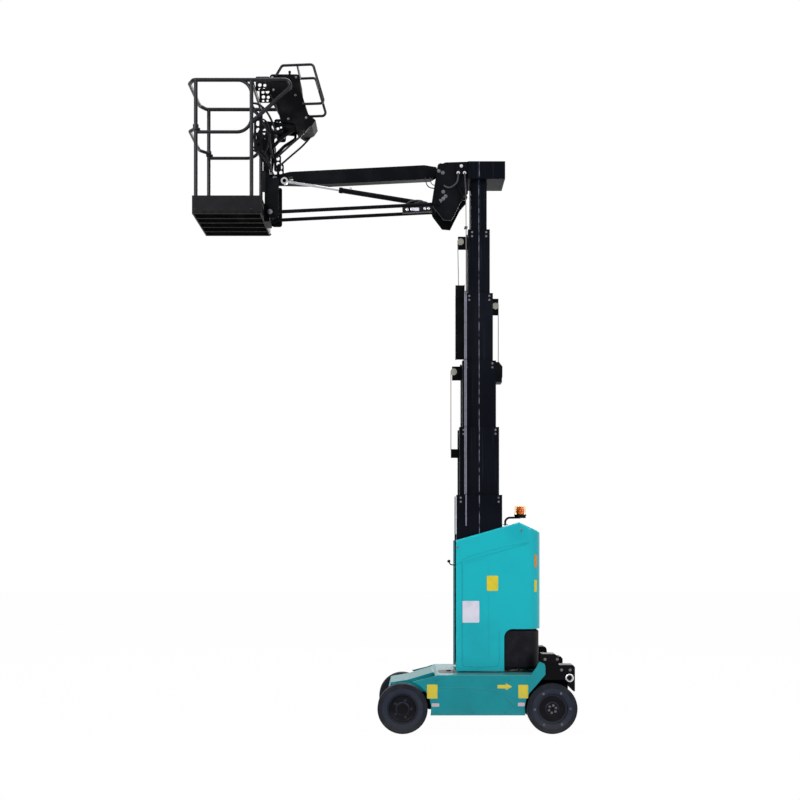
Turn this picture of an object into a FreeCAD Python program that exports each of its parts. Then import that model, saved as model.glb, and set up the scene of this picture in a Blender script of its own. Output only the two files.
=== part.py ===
"""A self-propelled vertical mast lift: a wheeled chassis, a slewing turntable with a hood, a nested telescoping
mast, a parallelogram jib and a guarded platform.

Everything is in millimetres. +X points to the rear of the machine, +Y to its right side and +Z up. The origin
lies on the ground under the middle of the parked machine. Each piece is drawn from the slewing axis and carried
from there to its place by slew_axis_x.
"""
import FreeCAD, Part
import math
import os
import re

import Sketcher

SIZES = {
    # Wheels and axles
    "slew_axis_x": 947, "rear_axle_x": 455, "wheelbase": 1220, "overall_width": 1000,
    "tyre_radius": 205, "tyre_width": 125, "tyre_shoulder": 16, "rim_radius": 134, "rim_wall": 12,
    "rim_disc": 14, "rim_dish": 22, "hub_radius": 62, "hub_length": 66, "spindle_radius": 26,
    "wheel_window": 11, "wheel_window_circle": 92, "wheel_windows": 6,
    "kingpin_inset": 30, "kingpin_radius": 12, "knuckle_radius": 22, "knuckle_height": 92,
    "axle_ear": 15, "axle_beam_depth": 70, "axle_beam_height": 62, "motor_radius": 82, "motor_flange": 16,
    # Chassis
    "frame_floor": 170, "deck_top": 480, "cover_wall": 8, "frame_wall": 12,
    "front_steer_room": 265, "arch_gap": 30, "rear_arch_gap": 20,
    "skirt_inset": 28, "skirt_wall": 12, "frame_side_gap": 20,
    "frame_half_width": "=overall_width / 2 - skirt_inset - skirt_wall - frame_side_gap",
    "tongue_room": 123, "tongue_half_width": "=overall_width / 2 - tyre_width - kingpin_inset - tongue_room",
    "tongue_overhang": 81, "tongue_front_x": "=rear_axle_x - wheelbase - tongue_overhang",
    "axle_seat_depth": 31, "tongue_floor": "=tyre_radius + axle_beam_height / 2 - axle_seat_depth",
    "tongue_top": 362, "tail_half_width": 258, "tail_end_x": 612,
    "nose_room": 87, "nose_half_width": "=overall_width / 2 - tyre_width - kingpin_inset - nose_room",
    "nose_overhang": 119, "nose_front_x": "=rear_axle_x - wheelbase - nose_overhang",
    "nose_rise_reach": 49, "nose_rise_x": "=rear_axle_x - wheelbase + nose_rise_reach",
    "deck_start_reach": 249, "deck_start_x": "=rear_axle_x - wheelbase + deck_start_reach",
    "skirt_top": 463, "deck_end_x": 350, "nose_low": 322, "nose_brow": 396, "nose_rise": 420,
    "lip_x": 351, "lip_top": 589, "lip_end_x": 400,
    "rear_box_x": 360, "rear_box_step_x": 500, "rear_box_end_x": 643, "rear_box_top": 650,
    "rear_box_step_top": 560, "rear_box_rise": 140, "rear_box_floor": "=tyre_radius + rear_box_rise",
    "rear_box_inner": 305,
    "rear_box_inset": 17, "rear_box_outer": "=overall_width / 2 - skirt_inset - rear_box_inset",
    "tie_down_radius": 16, "tie_down_plate": 15, "tie_down_height": 250, "lug_reach": 44, "lug_width": 68,
    "tie_down_inset": 52.5, "tie_down_y": "=tongue_half_width - tie_down_inset",
    # Slewing ring and turntable
    "ring_outer": 232, "ring_split": 182, "ring_inner": 128, "ring_height": 24, "slew_gap": 12, "race_gap": 0.8,
    "table_top": 530, "table_front_x": -309,
    "weight_gap": 16, "weight_front_x": "=mast_front_x + mast_depth + weight_gap", "weight_top": 828,
    "battery_gap": 34, "battery_front_x": "=mast_front_x + mast_depth + battery_gap",
    "battery_rear_gap": 59, "battery_length": "=hood_rear_x - battery_rear_gap - battery_front_x",
    "battery_half_width": 205, "battery_height": 320,
    # Hood
    "hood_front_x": -320, "hood_rear_x": 388, "hood_half_width": 281, "hood_floor": 492, "hood_front_top": 1580,
    "hood_ridge_x": 205, "hood_ridge": 1730, "hood_rear_top": 1648, "hood_wall": 6, "hood_corner": 130,
    "hood_edge": 22, "hood_arch_x": 80, "hood_arch_top": 842, "hood_arch_corner": 70, "mast_gap": 9,
    "panel_front_x": -272, "panel_rear_x": -48, "panel_floor": 592, "panel_depth": 3, "panel_corner": 40,
    "crease_drop": 196, "crease_width": 7, "crease_end_x": 330,
    "beacon_foot_gap": 42, "beacon_foot_x": "=mast_front_x + mast_depth + beacon_foot_gap",
    "beacon_reach": 128, "beacon_x": "=beacon_foot_x + beacon_reach", "beacon_radius": 52,
    "beacon_base": 1786, "beacon_height": 105,
    # Mast
    "mast_front_x": -312, "mast_depth": 382, "mast_half_width": 200, "mast_wall": 8, "mast_step_x": 24.8,
    "mast_step_y": 16, "mast_slot": 110, "mast_slot_step": 14, "stage_length": 1400, "stage_1_top": 1960,
    "stage_2_top": 2530, "stage_3_top": 3090, "stage_4_top": 3660, "stage_5_top": 4200,
    "pad_height": 90, "pad_width": 60, "pad_drop": 12, "pad_gap": 0.3, "rear_notch_depth": 190,
    "rear_notch_half": 112, "rear_lane_inner": 30, "rear_lane_outer": 100, "bracket_plate": 8,
    "sheave_radius": 28, "sheave_width": 14,
    # Mast head
    "head_floor": 4613, "head_height": 148, "head_front_x": -215, "head_rear_x": 96, "head_half_width": 185,
    "head_wall": 10, "cheek_inner": 150, "cheek_plate": 15,
    # Jib
    "jib_x": -444, "jib_z": 4720, "jib_length": 1409, "jib_droop": 2.85, "link_offset_x": -30,
    "link_offset_z": -305, "jib_half_width": 45, "jib_depth": 120, "jib_eye": 36, "jib_pin": 16,
    "link_radius": 15, "link_middle": 130, "link_eye": 26, "valve_start": 44, "valve_length": 250,
    "valve_height": 46, "valve_width": 40, "valve_middle": 119, "cylinder_middle": -72, "barrel_radius": 21,
    "barrel_wall": 6, "barrel_start": 150, "barrel_end": 840, "rod_radius": 11, "rod_start": 380,
    "rod_reach": 1307.7, "rod_eye_drop": 30, "rod_eye_inset": 85, "cylinder_lift": 9.21, "fit": 0.1,
    # Platform
    "post_x": -1930, "post_depth": 40, "post_half_width": 110, "post_floor": 4272, "post_top": 4905,
    "lug_plate": 14, "floor_x": -2500, "floor_half_width": 368, "floor_bottom": 4270, "floor_height": 30,
    "floor_sheet": 5, "floor_rim": 12, "floor_cells": 5, "tread_sheet": 3, "toe_height": 120,
    "toe_wall": 4, "rail_radius": 16, "mid_rail_radius": 14, "rail_bend": 45, "loop_bend": 120,
    "rail_top": 5380, "rail_mid": 4950, "rail_half_width": 346, "rail_front_x": -2472, "rail_post_x": -2012,
    "rail_reach_x": -1620, "rail_bow": 66, "entry_sleeve": 24, "entry_sleeve_height": 46,
    "console_half_width": 140, "console_plate": 6, "console_floor": 5090, "console_bar": 11,
}
MAST_STAGES = 6
LEFT, RIGHT = -1, 1

doc = FreeCAD.newDocument("mast_lift")
sheet = doc.addObject("Spreadsheet::Sheet", "Sizes")
for row, (alias, size) in enumerate(SIZES.items(), start=1):
    sheet.set(f"A{row}", alias)
    sheet.set(f"B{row}", str(size))
    sheet.setAlias(f"B{row}", alias)
doc.recompute()
pieces = []


# --- Writing sizes as words of the sheet -------------------------------------------------------------------

def bound(expression):
    """The expression with every alias looked up in the sheet."""
    return re.sub(r"[a-z]\w+", lambda word: "Sizes." + word[0] if word[0] in SIZES else word[0], str(expression))


def value(expression):
    """What an expression comes to now."""
    return float(sheet.evalExpression(bound(expression)))


def bind(thing, **expressions):
    """Binds properties of a thing to the sheet; two underscores stand for the dot in a longer path."""
    for path, expression in expressions.items():
        thing.setExpression(path.replace("__", "."), bound(expression))


def keep(piece, label):
    """Names a finished piece and carries it from the slewing axis to its place from the origin."""
    drawn = {path.lstrip("."): expression for path, expression in [entry[:2] for entry in piece.ExpressionEngine]}
    drawn_at = drawn.get("Placement.Base.x", str(piece.Placement.Base.x))
    piece.setExpression("Placement.Base.x", f"{drawn_at} + Sizes.slew_axis_x")
    piece.Label = label
    pieces.append(piece)
    return piece


# --- Bodies made of sketches -------------------------------------------------------------------------------

def new_body(name):
    return doc.addObject("PartDesign::Body", name)


def new_sketch(body, plane, name, offset=0):
    """A sketch on one of the body's own origin planes, moved along the plane's normal by the offset."""
    sketch = body.newObject("Sketcher::SketchObject", name)
    origin_plane = [feature for feature in body.Origin.OriginFeatures if feature.Role == plane + "_Plane"][0]
    sketch.AttachmentSupport = [(origin_plane, "")]
    sketch.MapMode = "FlatFace"
    bind(sketch, AttachmentOffset__Base__z=offset)
    return sketch


def draw_outline(sketch, corners):
    """A closed outline through the corners, with each corner's two distances bound to the sheet."""
    first = sketch.GeometryCount
    places = [FreeCAD.Vector(value(across), value(up), 0) for across, up in corners]
    last = len(places) - 1
    for index, place in enumerate(places):
        sketch.addGeometry(Part.LineSegment(place, places[0 if index == last else index + 1]), False)
    for index, (across, up) in enumerate(corners):
        after = first if index == last else first + index + 1
        sketch.addConstraint(Sketcher.Constraint("Coincident", first + index, 2, after, 1))
        for kind, expression, size in (("DistanceX", across, places[index].x), ("DistanceY", up, places[index].y)):
            constraint = sketch.addConstraint(Sketcher.Constraint(kind, -1, 1, first + index, 1, size))
            sketch.setExpression(f"Constraints[{constraint}]", bound(expression))
    return sketch


def draw_circle(sketch, across, up, radius):
    """A circle whose centre and radius are bound to the sheet."""
    centre = FreeCAD.Vector(value(across), value(up), 0)
    circle = sketch.addGeometry(Part.Circle(centre, FreeCAD.Vector(0, 0, 1), value(radius)), False)
    for kind, expression, size in (("DistanceX", across, centre.x), ("DistanceY", up, centre.y)):
        constraint = sketch.addConstraint(Sketcher.Constraint(kind, -1, 1, circle, 3, size))
        sketch.setExpression(f"Constraints[{constraint}]", bound(expression))
    constraint = sketch.addConstraint(Sketcher.Constraint("Radius", circle, value(radius)))
    sketch.setExpression(f"Constraints[{constraint}]", bound(radius))
    return sketch


def add_pad(body, sketch, length, symmetric=False):
    pad = body.newObject("PartDesign::Pad", sketch.Name + "_pad")
    pad.Profile = sketch
    pad.SideType = "Symmetric" if symmetric else "One side"
    bind(pad, Length=length)
    doc.recompute()
    return pad


def cut_pocket(body, sketch, length=None, symmetric=True, backwards=False):
    """Cuts a sketch out of the body, both ways through it unless a length is given, and makes sure it cut."""
    before = body.Shape.Volume
    pocket = body.newObject("PartDesign::Pocket", sketch.Name + "_pocket")
    pocket.Profile = sketch
    pocket.SideType = "Symmetric" if symmetric else "One side"
    pocket.Reversed = backwards
    if length is None:
        pocket.Type = "ThroughAll"
    else:
        bind(pocket, Length=length)
    doc.recompute()
    if body.Shape.Volume >= before - 1:
        raise RuntimeError(f"{pocket.Name} cut nothing")
    return pocket


def turn(body, sketch):
    """Turns a profile drawn beside the sketch's horizontal axis a full turn about it."""
    revolution = body.newObject("PartDesign::Revolution", sketch.Name + "_turned")
    revolution.Profile = sketch
    revolution.ReferenceAxis = (sketch, ["H_Axis"])
    revolution.Angle = 360
    doc.recompute()
    return revolution


def round_edges(body, wanted, radius):
    """Fillets the edges of the body's last feature that the test wants."""
    feature = body.Tip
    names = [f"Edge{number}" for number, edge in enumerate(feature.Shape.Edges, start=1) if wanted(edge)]
    if not names:
        raise RuntimeError(f"{body.Name} has no edge to round")
    fillet = body.newObject("PartDesign::Fillet", f"{feature.Name}_round")
    fillet.Base = (feature, names)
    bind(fillet, Radius=radius)
    doc.recompute()
    return fillet


def runs_along(edge, axis):
    """Whether a straight edge runs along X, Y or Z."""
    if edge.Curve.TypeId != "Part::GeomLine":
        return False
    run = edge.Vertexes[-1].Point - edge.Vertexes[0].Point
    return abs(abs(run.normalize()["XYZ".index(axis)]) - 1) < 1e-6


def middle(edge):
    return edge.BoundBox.Center


# --- Primitives --------------------------------------------------------------------------------------------

def new_box(name, x, y, z, length, width, height):
    """A block from its low corner."""
    block = doc.addObject("Part::Box", name)
    bind(block, Length=length, Width=width, Height=height)
    bind(block, Placement__Base__x=x, Placement__Base__y=y, Placement__Base__z=z)
    return block


def new_round(name, axis, x, y, z, radius, length):
    """A cylinder that runs from a point along X, Y or Z."""
    bar = doc.addObject("Part::Cylinder", name)
    turns = {"X": ((0, 1, 0), 90), "Y": ((1, 0, 0), -90), "Z": ((0, 0, 1), 0)}
    direction, angle = turns[axis]
    bar.Placement = FreeCAD.Placement(FreeCAD.Vector(), FreeCAD.Rotation(FreeCAD.Vector(*direction), angle))
    bind(bar, Radius=radius, Height=length)
    bind(bar, Placement__Base__x=x, Placement__Base__y=y, Placement__Base__z=z)
    return bar


def cut(name, base, tool):
    made = doc.addObject("Part::Cut", name)
    made.Base, made.Tool = base, tool
    return made


def fuse(name, shapes):
    made = doc.addObject("Part::MultiFuse", name)
    made.Shapes = shapes
    return made


def common(name, base, tool):
    made = doc.addObject("Part::Common", name)
    made.Base, made.Tool = base, tool
    return made


# --- Bent tubes --------------------------------------------------------------------------------------------

def points(*corners):
    return [FreeCAD.Vector(*(value(size) for size in corner)) for corner in corners]


def straight_bar(start, end, radius):
    return Part.makeCylinder(radius, (end - start).Length, start, end - start)


def bent_tube(corners, radius, bend):
    """The solid of a round bar that runs straight between the corners and bends at each with one radius."""
    runs, start = [], corners[0]
    for before, corner, after in zip(corners, corners[1:], corners[2:]):
        back, ahead = (before - corner).normalize(), (after - corner).normalize()
        turning = math.pi - back.getAngle(ahead)
        set_back = bend * math.tan(turning / 2)
        centre = corner + (back + ahead).normalize() * (bend / math.cos(turning / 2))
        leaves = corner + back * set_back
        runs.append(straight_bar(start, leaves, radius))
        end_face = Part.Face(Part.Wire(Part.makeCircle(radius, leaves, back)))
        runs.append(end_face.revolve(centre, ahead.cross(back), math.degrees(turning)))
        start = corner + ahead * set_back
    runs.append(straight_bar(start, corners[-1], radius))
    return runs[0].fuse(runs[1:]).removeSplitter()


def new_tubes(name, solids):
    """A feature that holds solids made by Part's own functions, fused into one."""
    made = doc.addObject("Part::Feature", name)
    made.Shape = solids[0].fuse(solids[1:]) if len(solids) > 1 else solids[0]
    return made


# --- Wheels and what carries them --------------------------------------------------------------------------

FRONT_AXLE = "(rear_axle_x - wheelbase)"
WHEEL_MIDDLE = "(overall_width / 2 - tyre_width / 2)"
KINGPIN_Y = "(overall_width / 2 - tyre_width - kingpin_inset)"
WHEELS = (("front_left", FRONT_AXLE, LEFT), ("front_right", FRONT_AXLE, RIGHT),
          ("rear_left", "rear_axle_x", LEFT), ("rear_right", "rear_axle_x", RIGHT))


def place_wheel_piece(body, axle, side):
    """Stands a piece drawn about its own middle, with +Y outwards, in the middle of a wheel."""
    body.Placement = FreeCAD.Placement(FreeCAD.Vector(), FreeCAD.Rotation(0 if side == RIGHT else 180, 0, 0))
    bind(body, Placement__Base__x=axle, Placement__Base__y=f"{side} * {WHEEL_MIDDLE}",
         Placement__Base__z="tyre_radius")


def make_tyre(name, axle, side):
    """A solid tyre: a ring with faceted shoulders that sits on the rim."""
    body = new_body(name)
    half, seat = "tyre_width / 2", "rim_radius + pad_gap"
    profile = new_sketch(body, "YZ", name + "_section")
    sides = (("tyre_radius - tyre_shoulder", "0"), ("tyre_radius - tyre_shoulder * 0.3", "tyre_shoulder * 0.3"),
             ("tyre_radius", "tyre_shoulder"))
    draw_outline(profile, [(f"-{half}", seat), (half, seat)]
                 + [(f"{half} - {inset}", up) for up, inset in sides]
                 + [(f"-{half} + {inset}", up) for up, inset in reversed(sides)])
    turn(body, profile)
    place_wheel_piece(body, axle, side)
    keep(body, name)


def make_rim(name, axle, side):
    """A dished rim: a barrel, a disc with round windows, and a hub bored from the inner side for the spindle."""
    body = new_body(name)
    half, wall, disc = "(tyre_width / 2 - 2)", "(rim_radius - rim_wall)", "(tyre_width / 2 - rim_dish)"
    hub_in = f"({disc} - hub_length)"
    profile = new_sketch(body, "YZ", name + "_section")
    draw_outline(profile, (
        (f"-{half}", "rim_radius"), (half, "rim_radius"), (half, f"{wall} + 4"), (disc, wall),
        (disc, "hub_radius"), (f"{disc} + 12", "hub_radius - 14"), (f"{disc} + 12", "0"),
        (f"{disc} - 14", "0"), (f"{disc} - 14", "spindle_radius + fit"), (hub_in, "spindle_radius + fit"),
        (hub_in, "spindle_radius + 12"), (f"{disc} - rim_disc", "hub_radius"), (f"{disc} - rim_disc", wall),
        (f"-{half}", f"{wall} + 4")))
    turn(body, profile)
    window = new_sketch(body, "XZ", name + "_window")
    draw_circle(window, "wheel_window_circle", "0", "wheel_window")
    pocket = cut_pocket(body, window)
    ring = body.newObject("PartDesign::PolarPattern", name + "_windows")
    ring.Originals = [pocket]
    ring.Axis = ([axis for axis in body.Origin.OriginFeatures if axis.Role == "Y_Axis"][0], [""])
    ring.Angle = 360
    bind(ring, Occurrences="wheel_windows")
    body.Tip = ring
    place_wheel_piece(body, axle, side)
    keep(body, name)


for wheel, axle, side in WHEELS:
    make_tyre("tyre_" + wheel, axle, side)
    make_rim("rim_" + wheel, axle, side)

HUB_INNER_Y = f"({WHEEL_MIDDLE} + tyre_width / 2 - rim_dish - hub_length)"
SPINDLE_TIP_Y = f"({WHEEL_MIDDLE} + tyre_width / 2 - rim_dish - 14 - 1)"


def make_knuckle(name, side):
    """A sleeve on the kingpin with a spindle that runs outwards into the wheel's hub."""
    start = KINGPIN_Y if side == RIGHT else f"-{SPINDLE_TIP_Y}"
    sleeve = new_round(name + "_sleeve", "Z", FRONT_AXLE, f"{side} * {KINGPIN_Y}",
                       "tyre_radius - knuckle_height / 2", "knuckle_radius", "knuckle_height")
    spindle = new_round(name + "_spindle", "Y", FRONT_AXLE, start, "tyre_radius", "spindle_radius",
                        f"{SPINDLE_TIP_Y} - {KINGPIN_Y}")
    bore = new_round(name + "_bore", "Z", FRONT_AXLE, f"{side} * {KINGPIN_Y}",
                     "tyre_radius - knuckle_height", "kingpin_radius + fit", "knuckle_height * 2")
    keep(cut(name, fuse(name + "_forging", [sleeve, spindle]), bore), name)


make_knuckle("knuckle_left", LEFT)
make_knuckle("knuckle_right", RIGHT)


def make_front_axle():
    """A beam under the nose that ends in a fork at each side, with the kingpin through the fork's two ears."""
    body = new_body("front_axle")
    fork_y, ear_y = f"({KINGPIN_Y} - knuckle_radius - 12)", f"({KINGPIN_Y} + 20)"
    low, high = "(tyre_radius - knuckle_height / 2 - 1)", "(tyre_radius + knuckle_height / 2 + 1)"
    beam_low, beam_high = "(tyre_radius - axle_beam_height / 2)", "(tyre_radius + axle_beam_height / 2)"
    front = new_sketch(body, "YZ", "axle_front", FRONT_AXLE)
    draw_outline(front, (
        (f"-{ear_y}", f"{low} - axle_ear"), (f"-{fork_y} + 14", f"{low} - axle_ear"),
        (f"-{fork_y} + 40", beam_low), (f"{fork_y} - 40", beam_low),
        (f"{fork_y} - 14", f"{low} - axle_ear"), (ear_y, f"{low} - axle_ear"), (ear_y, low), (fork_y, low),
        (fork_y, high), (ear_y, high), (ear_y, f"{high} + axle_ear"), (f"{fork_y} - 14", f"{high} + axle_ear"),
        (f"{fork_y} - 40", beam_high), (f"-{fork_y} + 40", beam_high),
        (f"-{fork_y} + 14", f"{high} + axle_ear"), (f"-{ear_y}", f"{high} + axle_ear"), (f"-{ear_y}", high),
        (f"-{fork_y}", high), (f"-{fork_y}", low), (f"-{ear_y}", low)))
    add_pad(body, front, "axle_beam_depth", symmetric=True)
    pins = new_sketch(body, "XY", "kingpins", f"{low} - axle_ear")
    for side in (LEFT, RIGHT):
        draw_circle(pins, FRONT_AXLE, f"{side} * {KINGPIN_Y}", "kingpin_radius")
    add_pad(body, pins, "knuckle_height + 2 + 2 * axle_ear")
    keep(body, "front_axle")


make_front_axle()


def make_rear_axle():
    """A drive motor on each side of the frame's tail: a flange, a round case and the spindle in the wheel."""
    motors = []
    for side, name in ((LEFT, "left"), (RIGHT, "right")):
        runs = (("flange", "motor_radius + 14", "tail_half_width", "tail_half_width + motor_flange"),
                ("case", "motor_radius", "tail_half_width + motor_flange", f"{HUB_INNER_Y} - 18"),
                ("spindle", "spindle_radius", f"{HUB_INNER_Y} - 18", SPINDLE_TIP_Y))
        for piece, radius, start, end in runs:
            low = start if side == RIGHT else f"-({end})"
            motors.append(new_round(f"motor_{name}_{piece}", "Y", "rear_axle_x", low, "tyre_radius",
                                    radius, f"({end}) - ({start})"))
    keep(fuse("rear_axle", motors), "rear_axle")


make_rear_axle()

# --- Chassis -----------------------------------------------------------------------------------------------

FRAME_TOP = "(deck_top - cover_wall - pad_gap)"
FRAME_FRONT = f"({FRONT_AXLE} + front_steer_room)"
FRAME_REAR = "(rear_axle_x - tyre_radius - arch_gap)"
SKIRT_Y = "(overall_width / 2 - skirt_inset)"


def make_frame():
    """A welded tray, open below: a wide middle, a tongue over the front axle and a tail at the rear."""
    middle_box = new_box("frame_middle", FRAME_FRONT, "-frame_half_width", "frame_floor",
                         f"{FRAME_REAR} - {FRAME_FRONT}", "2 * frame_half_width", f"{FRAME_TOP} - frame_floor")
    tongue = new_box("frame_tongue", "tongue_front_x", "-tongue_half_width", "tongue_floor",
                     f"{FRAME_FRONT} - tongue_front_x + 20", "2 * tongue_half_width", "tongue_top - tongue_floor")
    tail = new_box("frame_tail", f"{FRAME_REAR} - 20", "-tail_half_width", "frame_floor",
                   f"tail_end_x - {FRAME_REAR} + 20", "2 * tail_half_width", f"{FRAME_TOP} - frame_floor")
    hollow_middle = new_box("frame_middle_hollow", f"{FRAME_FRONT} + frame_wall",
                            "-frame_half_width + frame_wall", "frame_floor - 10",
                            f"{FRAME_REAR} - {FRAME_FRONT} - 2 * frame_wall",
                            "2 * (frame_half_width - frame_wall)", f"{FRAME_TOP} - frame_floor + 10 - frame_wall")
    hollow_tail = new_box("frame_tail_hollow", f"{FRAME_REAR} + 1", "-tail_half_width + frame_wall",
                          "frame_floor - 10", f"tail_end_x - {FRAME_REAR} - frame_wall - 1",
                          "2 * (tail_half_width - frame_wall)", f"{FRAME_TOP} - frame_floor + 10 - frame_wall")
    axle_seat = new_box("frame_axle_seat", f"{FRONT_AXLE} - axle_beam_depth / 2 - pad_gap",
                        "-tongue_half_width - 5", "tongue_floor - 5", "axle_beam_depth + 2 * pad_gap",
                        "2 * tongue_half_width + 10",
                        "tyre_radius + axle_beam_height / 2 + pad_gap - tongue_floor + 5")
    hollow_tongue = new_box("frame_tongue_hollow", "tongue_front_x + frame_wall",
                            "-tongue_half_width + frame_wall", "tongue_floor - 10",
                            f"{FRAME_FRONT} - tongue_front_x - 2 * frame_wall",
                            "2 * (tongue_half_width - frame_wall)", "tongue_top - tongue_floor + 10 - frame_wall")
    steel = fuse("frame_steel", [middle_box, tongue, tail])
    hollows = fuse("frame_hollows", [hollow_middle, hollow_tail, axle_seat, hollow_tongue])
    tray = cut("frame_tray", steel, hollows)
    keep(tray, "chassis_frame")


def make_tie_down_lugs():
    """The four plates at the frame's ends that the machine is lashed down by."""
    lugs = []
    for end, start, hole_x in (("front", "tongue_front_x - pad_gap - lug_reach", "tongue_front_x - lug_reach / 2"),
                               ("rear", "tail_end_x + pad_gap", "tail_end_x + lug_reach / 2")):
        for side, name in ((LEFT, "left"), (RIGHT, "right")):
            plate = new_box(f"lug_{end}_{name}", start, f"{side} * tie_down_y - lug_width / 2",
                            "tie_down_height - tie_down_plate / 2", "lug_reach", "lug_width", "tie_down_plate")
            hole = new_round(f"lug_hole_{end}_{name}", "Z", hole_x, f"{side} * tie_down_y",
                             "tie_down_height - tie_down_plate", "tie_down_radius", "2 * tie_down_plate")
            lugs.append(cut(f"lug_cut_{end}_{name}", plate, hole))
    keep(fuse("tie_down_lugs", lugs), "tie_down_lugs")


make_frame()
make_tie_down_lugs()


def arch_points(axle, radius, angles):
    """Corners on a wheel's arch, at angles from straight behind the axle."""
    return [(f"{axle} + ({radius}) * {math.cos(math.radians(angle)):.4f}",
             f"tyre_radius + ({radius}) * {math.sin(math.radians(angle)):.4f}") for angle in angles]


def make_deck_cover():
    """The pressed cover between the wheels: a deck plate and a skirt down each side, cut to the wheels' arches."""
    front_arch = arch_points(FRONT_AXLE, "tyre_radius + arch_gap", (69, 53, 37, 21, 5, -13.5))
    rear_arch = arch_points("rear_axle_x", "tyre_radius + rear_arch_gap", (194, 178, 161, 145, 129))
    body = new_body("deck_cover")
    side = new_sketch(body, "XZ", "skirt_side")
    draw_outline(side, front_arch[::-1] + [
        ("deck_start_x - 30", "skirt_top - 6"), ("deck_start_x + 40", "deck_top"), ("lip_x - 70", "deck_top"),
        ("lip_x - 24", "deck_top + 62"), ("lip_x", "lip_top"), ("lip_end_x - 8", "lip_top - 18"),
        ("lip_end_x", "lip_top - 44"), ("lip_end_x", "deck_top + 4")] + rear_arch[::-1])
    add_pad(body, side, f"2 * {SKIRT_Y}", symmetric=True)
    inside = new_sketch(body, "YZ", "deck_inside", "deck_start_x - 300")
    inner, under = f"({SKIRT_Y} - skirt_wall)", "(deck_top - cover_wall)"
    draw_outline(inside, ((f"-{inner}", "0"), (inner, "0"), (inner, under), (f"-{inner}", under)))
    cut_pocket(body, inside)
    above = new_sketch(body, "YZ", "deck_above", "deck_start_x - 300")
    draw_outline(above, ((f"-{inner}", "deck_top"), (inner, "deck_top"), (inner, "lip_top + 100"),
                         (f"-{inner}", "lip_top + 100")))
    cut_pocket(body, above)
    ring = new_sketch(body, "XY", "deck_ring_hole")
    draw_circle(ring, "0", "0", "ring_outer + 6")
    cut_pocket(body, ring)
    rear = new_sketch(body, "XY", "deck_rear_end")
    draw_outline(rear, (("deck_end_x", f"-{inner}"), ("lip_end_x + 50", f"-{inner}"), ("lip_end_x + 50", inner),
                        ("deck_end_x", inner)))
    cut_pocket(body, rear)
    round_edges(body, lambda edge: abs(middle(edge).z - value("deck_top")) < 0.5 and runs_along(edge, "X")
                and abs(middle(edge).y) > value(inner) + 1, "skirt_wall - 4")
    keep(body, "deck_cover")


make_deck_cover()


def make_nose_cover():
    """The narrower sloping cover over the tongue, open below, from the front wheels up to the deck."""
    body = new_body("nose_cover")
    side = new_sketch(body, "XZ", "nose_side")
    draw_outline(side, (("nose_front_x", "nose_low"), (f"{FRAME_FRONT} - pad_gap", "nose_low"),
                        (f"{FRAME_FRONT} - pad_gap", "deck_top"), ("deck_start_x", "deck_top"),
                        ("nose_rise_x", "nose_rise"), ("nose_front_x + 20", "nose_brow")))
    add_pad(body, side, "2 * nose_half_width", symmetric=True)
    round_edges(body, lambda edge: middle(edge).x < value("nose_front_x + 22") and runs_along(edge, "Z") is False
                and abs(middle(edge).y) > value("nose_half_width") - 1 and middle(edge).z < value("nose_brow") - 5
                and middle(edge).z > value("nose_low") + 5, "40")
    inside = new_sketch(body, "XZ", "nose_inside")
    wall = "cover_wall"
    draw_outline(inside, ((f"nose_front_x + {wall}", "nose_low - 50"), (f"{FRAME_FRONT} + 10", "nose_low - 50"),
                          (f"{FRAME_FRONT} + 10", f"deck_top - {wall}"), ("deck_start_x", f"deck_top - {wall}"),
                          ("nose_rise_x", f"nose_rise - {wall}"),
                          (f"nose_front_x + 20 + {wall}", f"nose_brow - {wall}")))
    cut_pocket(body, inside, f"2 * (nose_half_width - {wall})")
    keep(body, "nose_cover")


make_nose_cover()


def make_rear_box(name, side):
    """A stepped box over a rear wheel, hollowed by the wheel's arch, with a foot on the frame's tail."""
    body = new_body(name + "_case")
    profile = new_sketch(body, "XZ", name + "_side", f"{-side} * (rear_box_inner + rear_box_outer) / 2")
    draw_outline(profile, (
        ("rear_box_x", "skirt_top - 24"), ("rear_box_x", "rear_box_top - 14"), ("rear_box_x + 14", "rear_box_top"),
        ("rear_box_step_x - 20", "rear_box_top"), ("rear_box_step_x", "rear_box_top - 16"),
        ("rear_box_step_x + 12", "rear_box_step_top"), ("rear_box_end_x - 16", "rear_box_step_top"),
        ("rear_box_end_x", "rear_box_step_top - 18"), ("rear_box_end_x", "rear_box_floor"),
        ("rear_box_end_x - 60", "rear_box_floor"), ("rear_box_end_x - 60", "skirt_top - 24")))
    add_pad(body, profile, "rear_box_outer - rear_box_inner", symmetric=True)
    arch = new_sketch(body, "XZ", name + "_arch")
    draw_circle(arch, "rear_axle_x", "tyre_radius", "tyre_radius + rear_arch_gap")
    cut_pocket(body, arch)
    foot_low = "tail_half_width + pad_gap" if side == RIGHT else "-rear_box_inner"
    foot = new_box(name + "_foot", "rear_box_x", foot_low, "skirt_top - 24", "rear_box_end_x - rear_box_x - 66",
                   "rear_box_inner - tail_half_width - pad_gap", "24")
    keep(fuse(name, [body, foot]), name)


make_rear_box("rear_box_left", LEFT)
make_rear_box("rear_box_right", RIGHT)


def make_ring(name, outer, inner, low, height):
    body = new_body(name)
    plan = new_sketch(body, "XY", name + "_plan", low)
    draw_circle(plan, "0", "0", outer)
    draw_circle(plan, "0", "0", inner)
    add_pad(body, plan, height)
    return body


keep(make_ring("slew_ring", "ring_outer", "ring_split", FRAME_TOP, "ring_height"), "slew_ring")

# --- Turntable ---------------------------------------------------------------------------------------------

TABLE_FLOOR = f"({FRAME_TOP} + ring_height + slew_gap)"
TABLE_REAR = "(hood_rear_x - hood_wall - pad_gap)"
TABLE_HALF = "(hood_half_width - hood_wall - pad_gap)"


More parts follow.
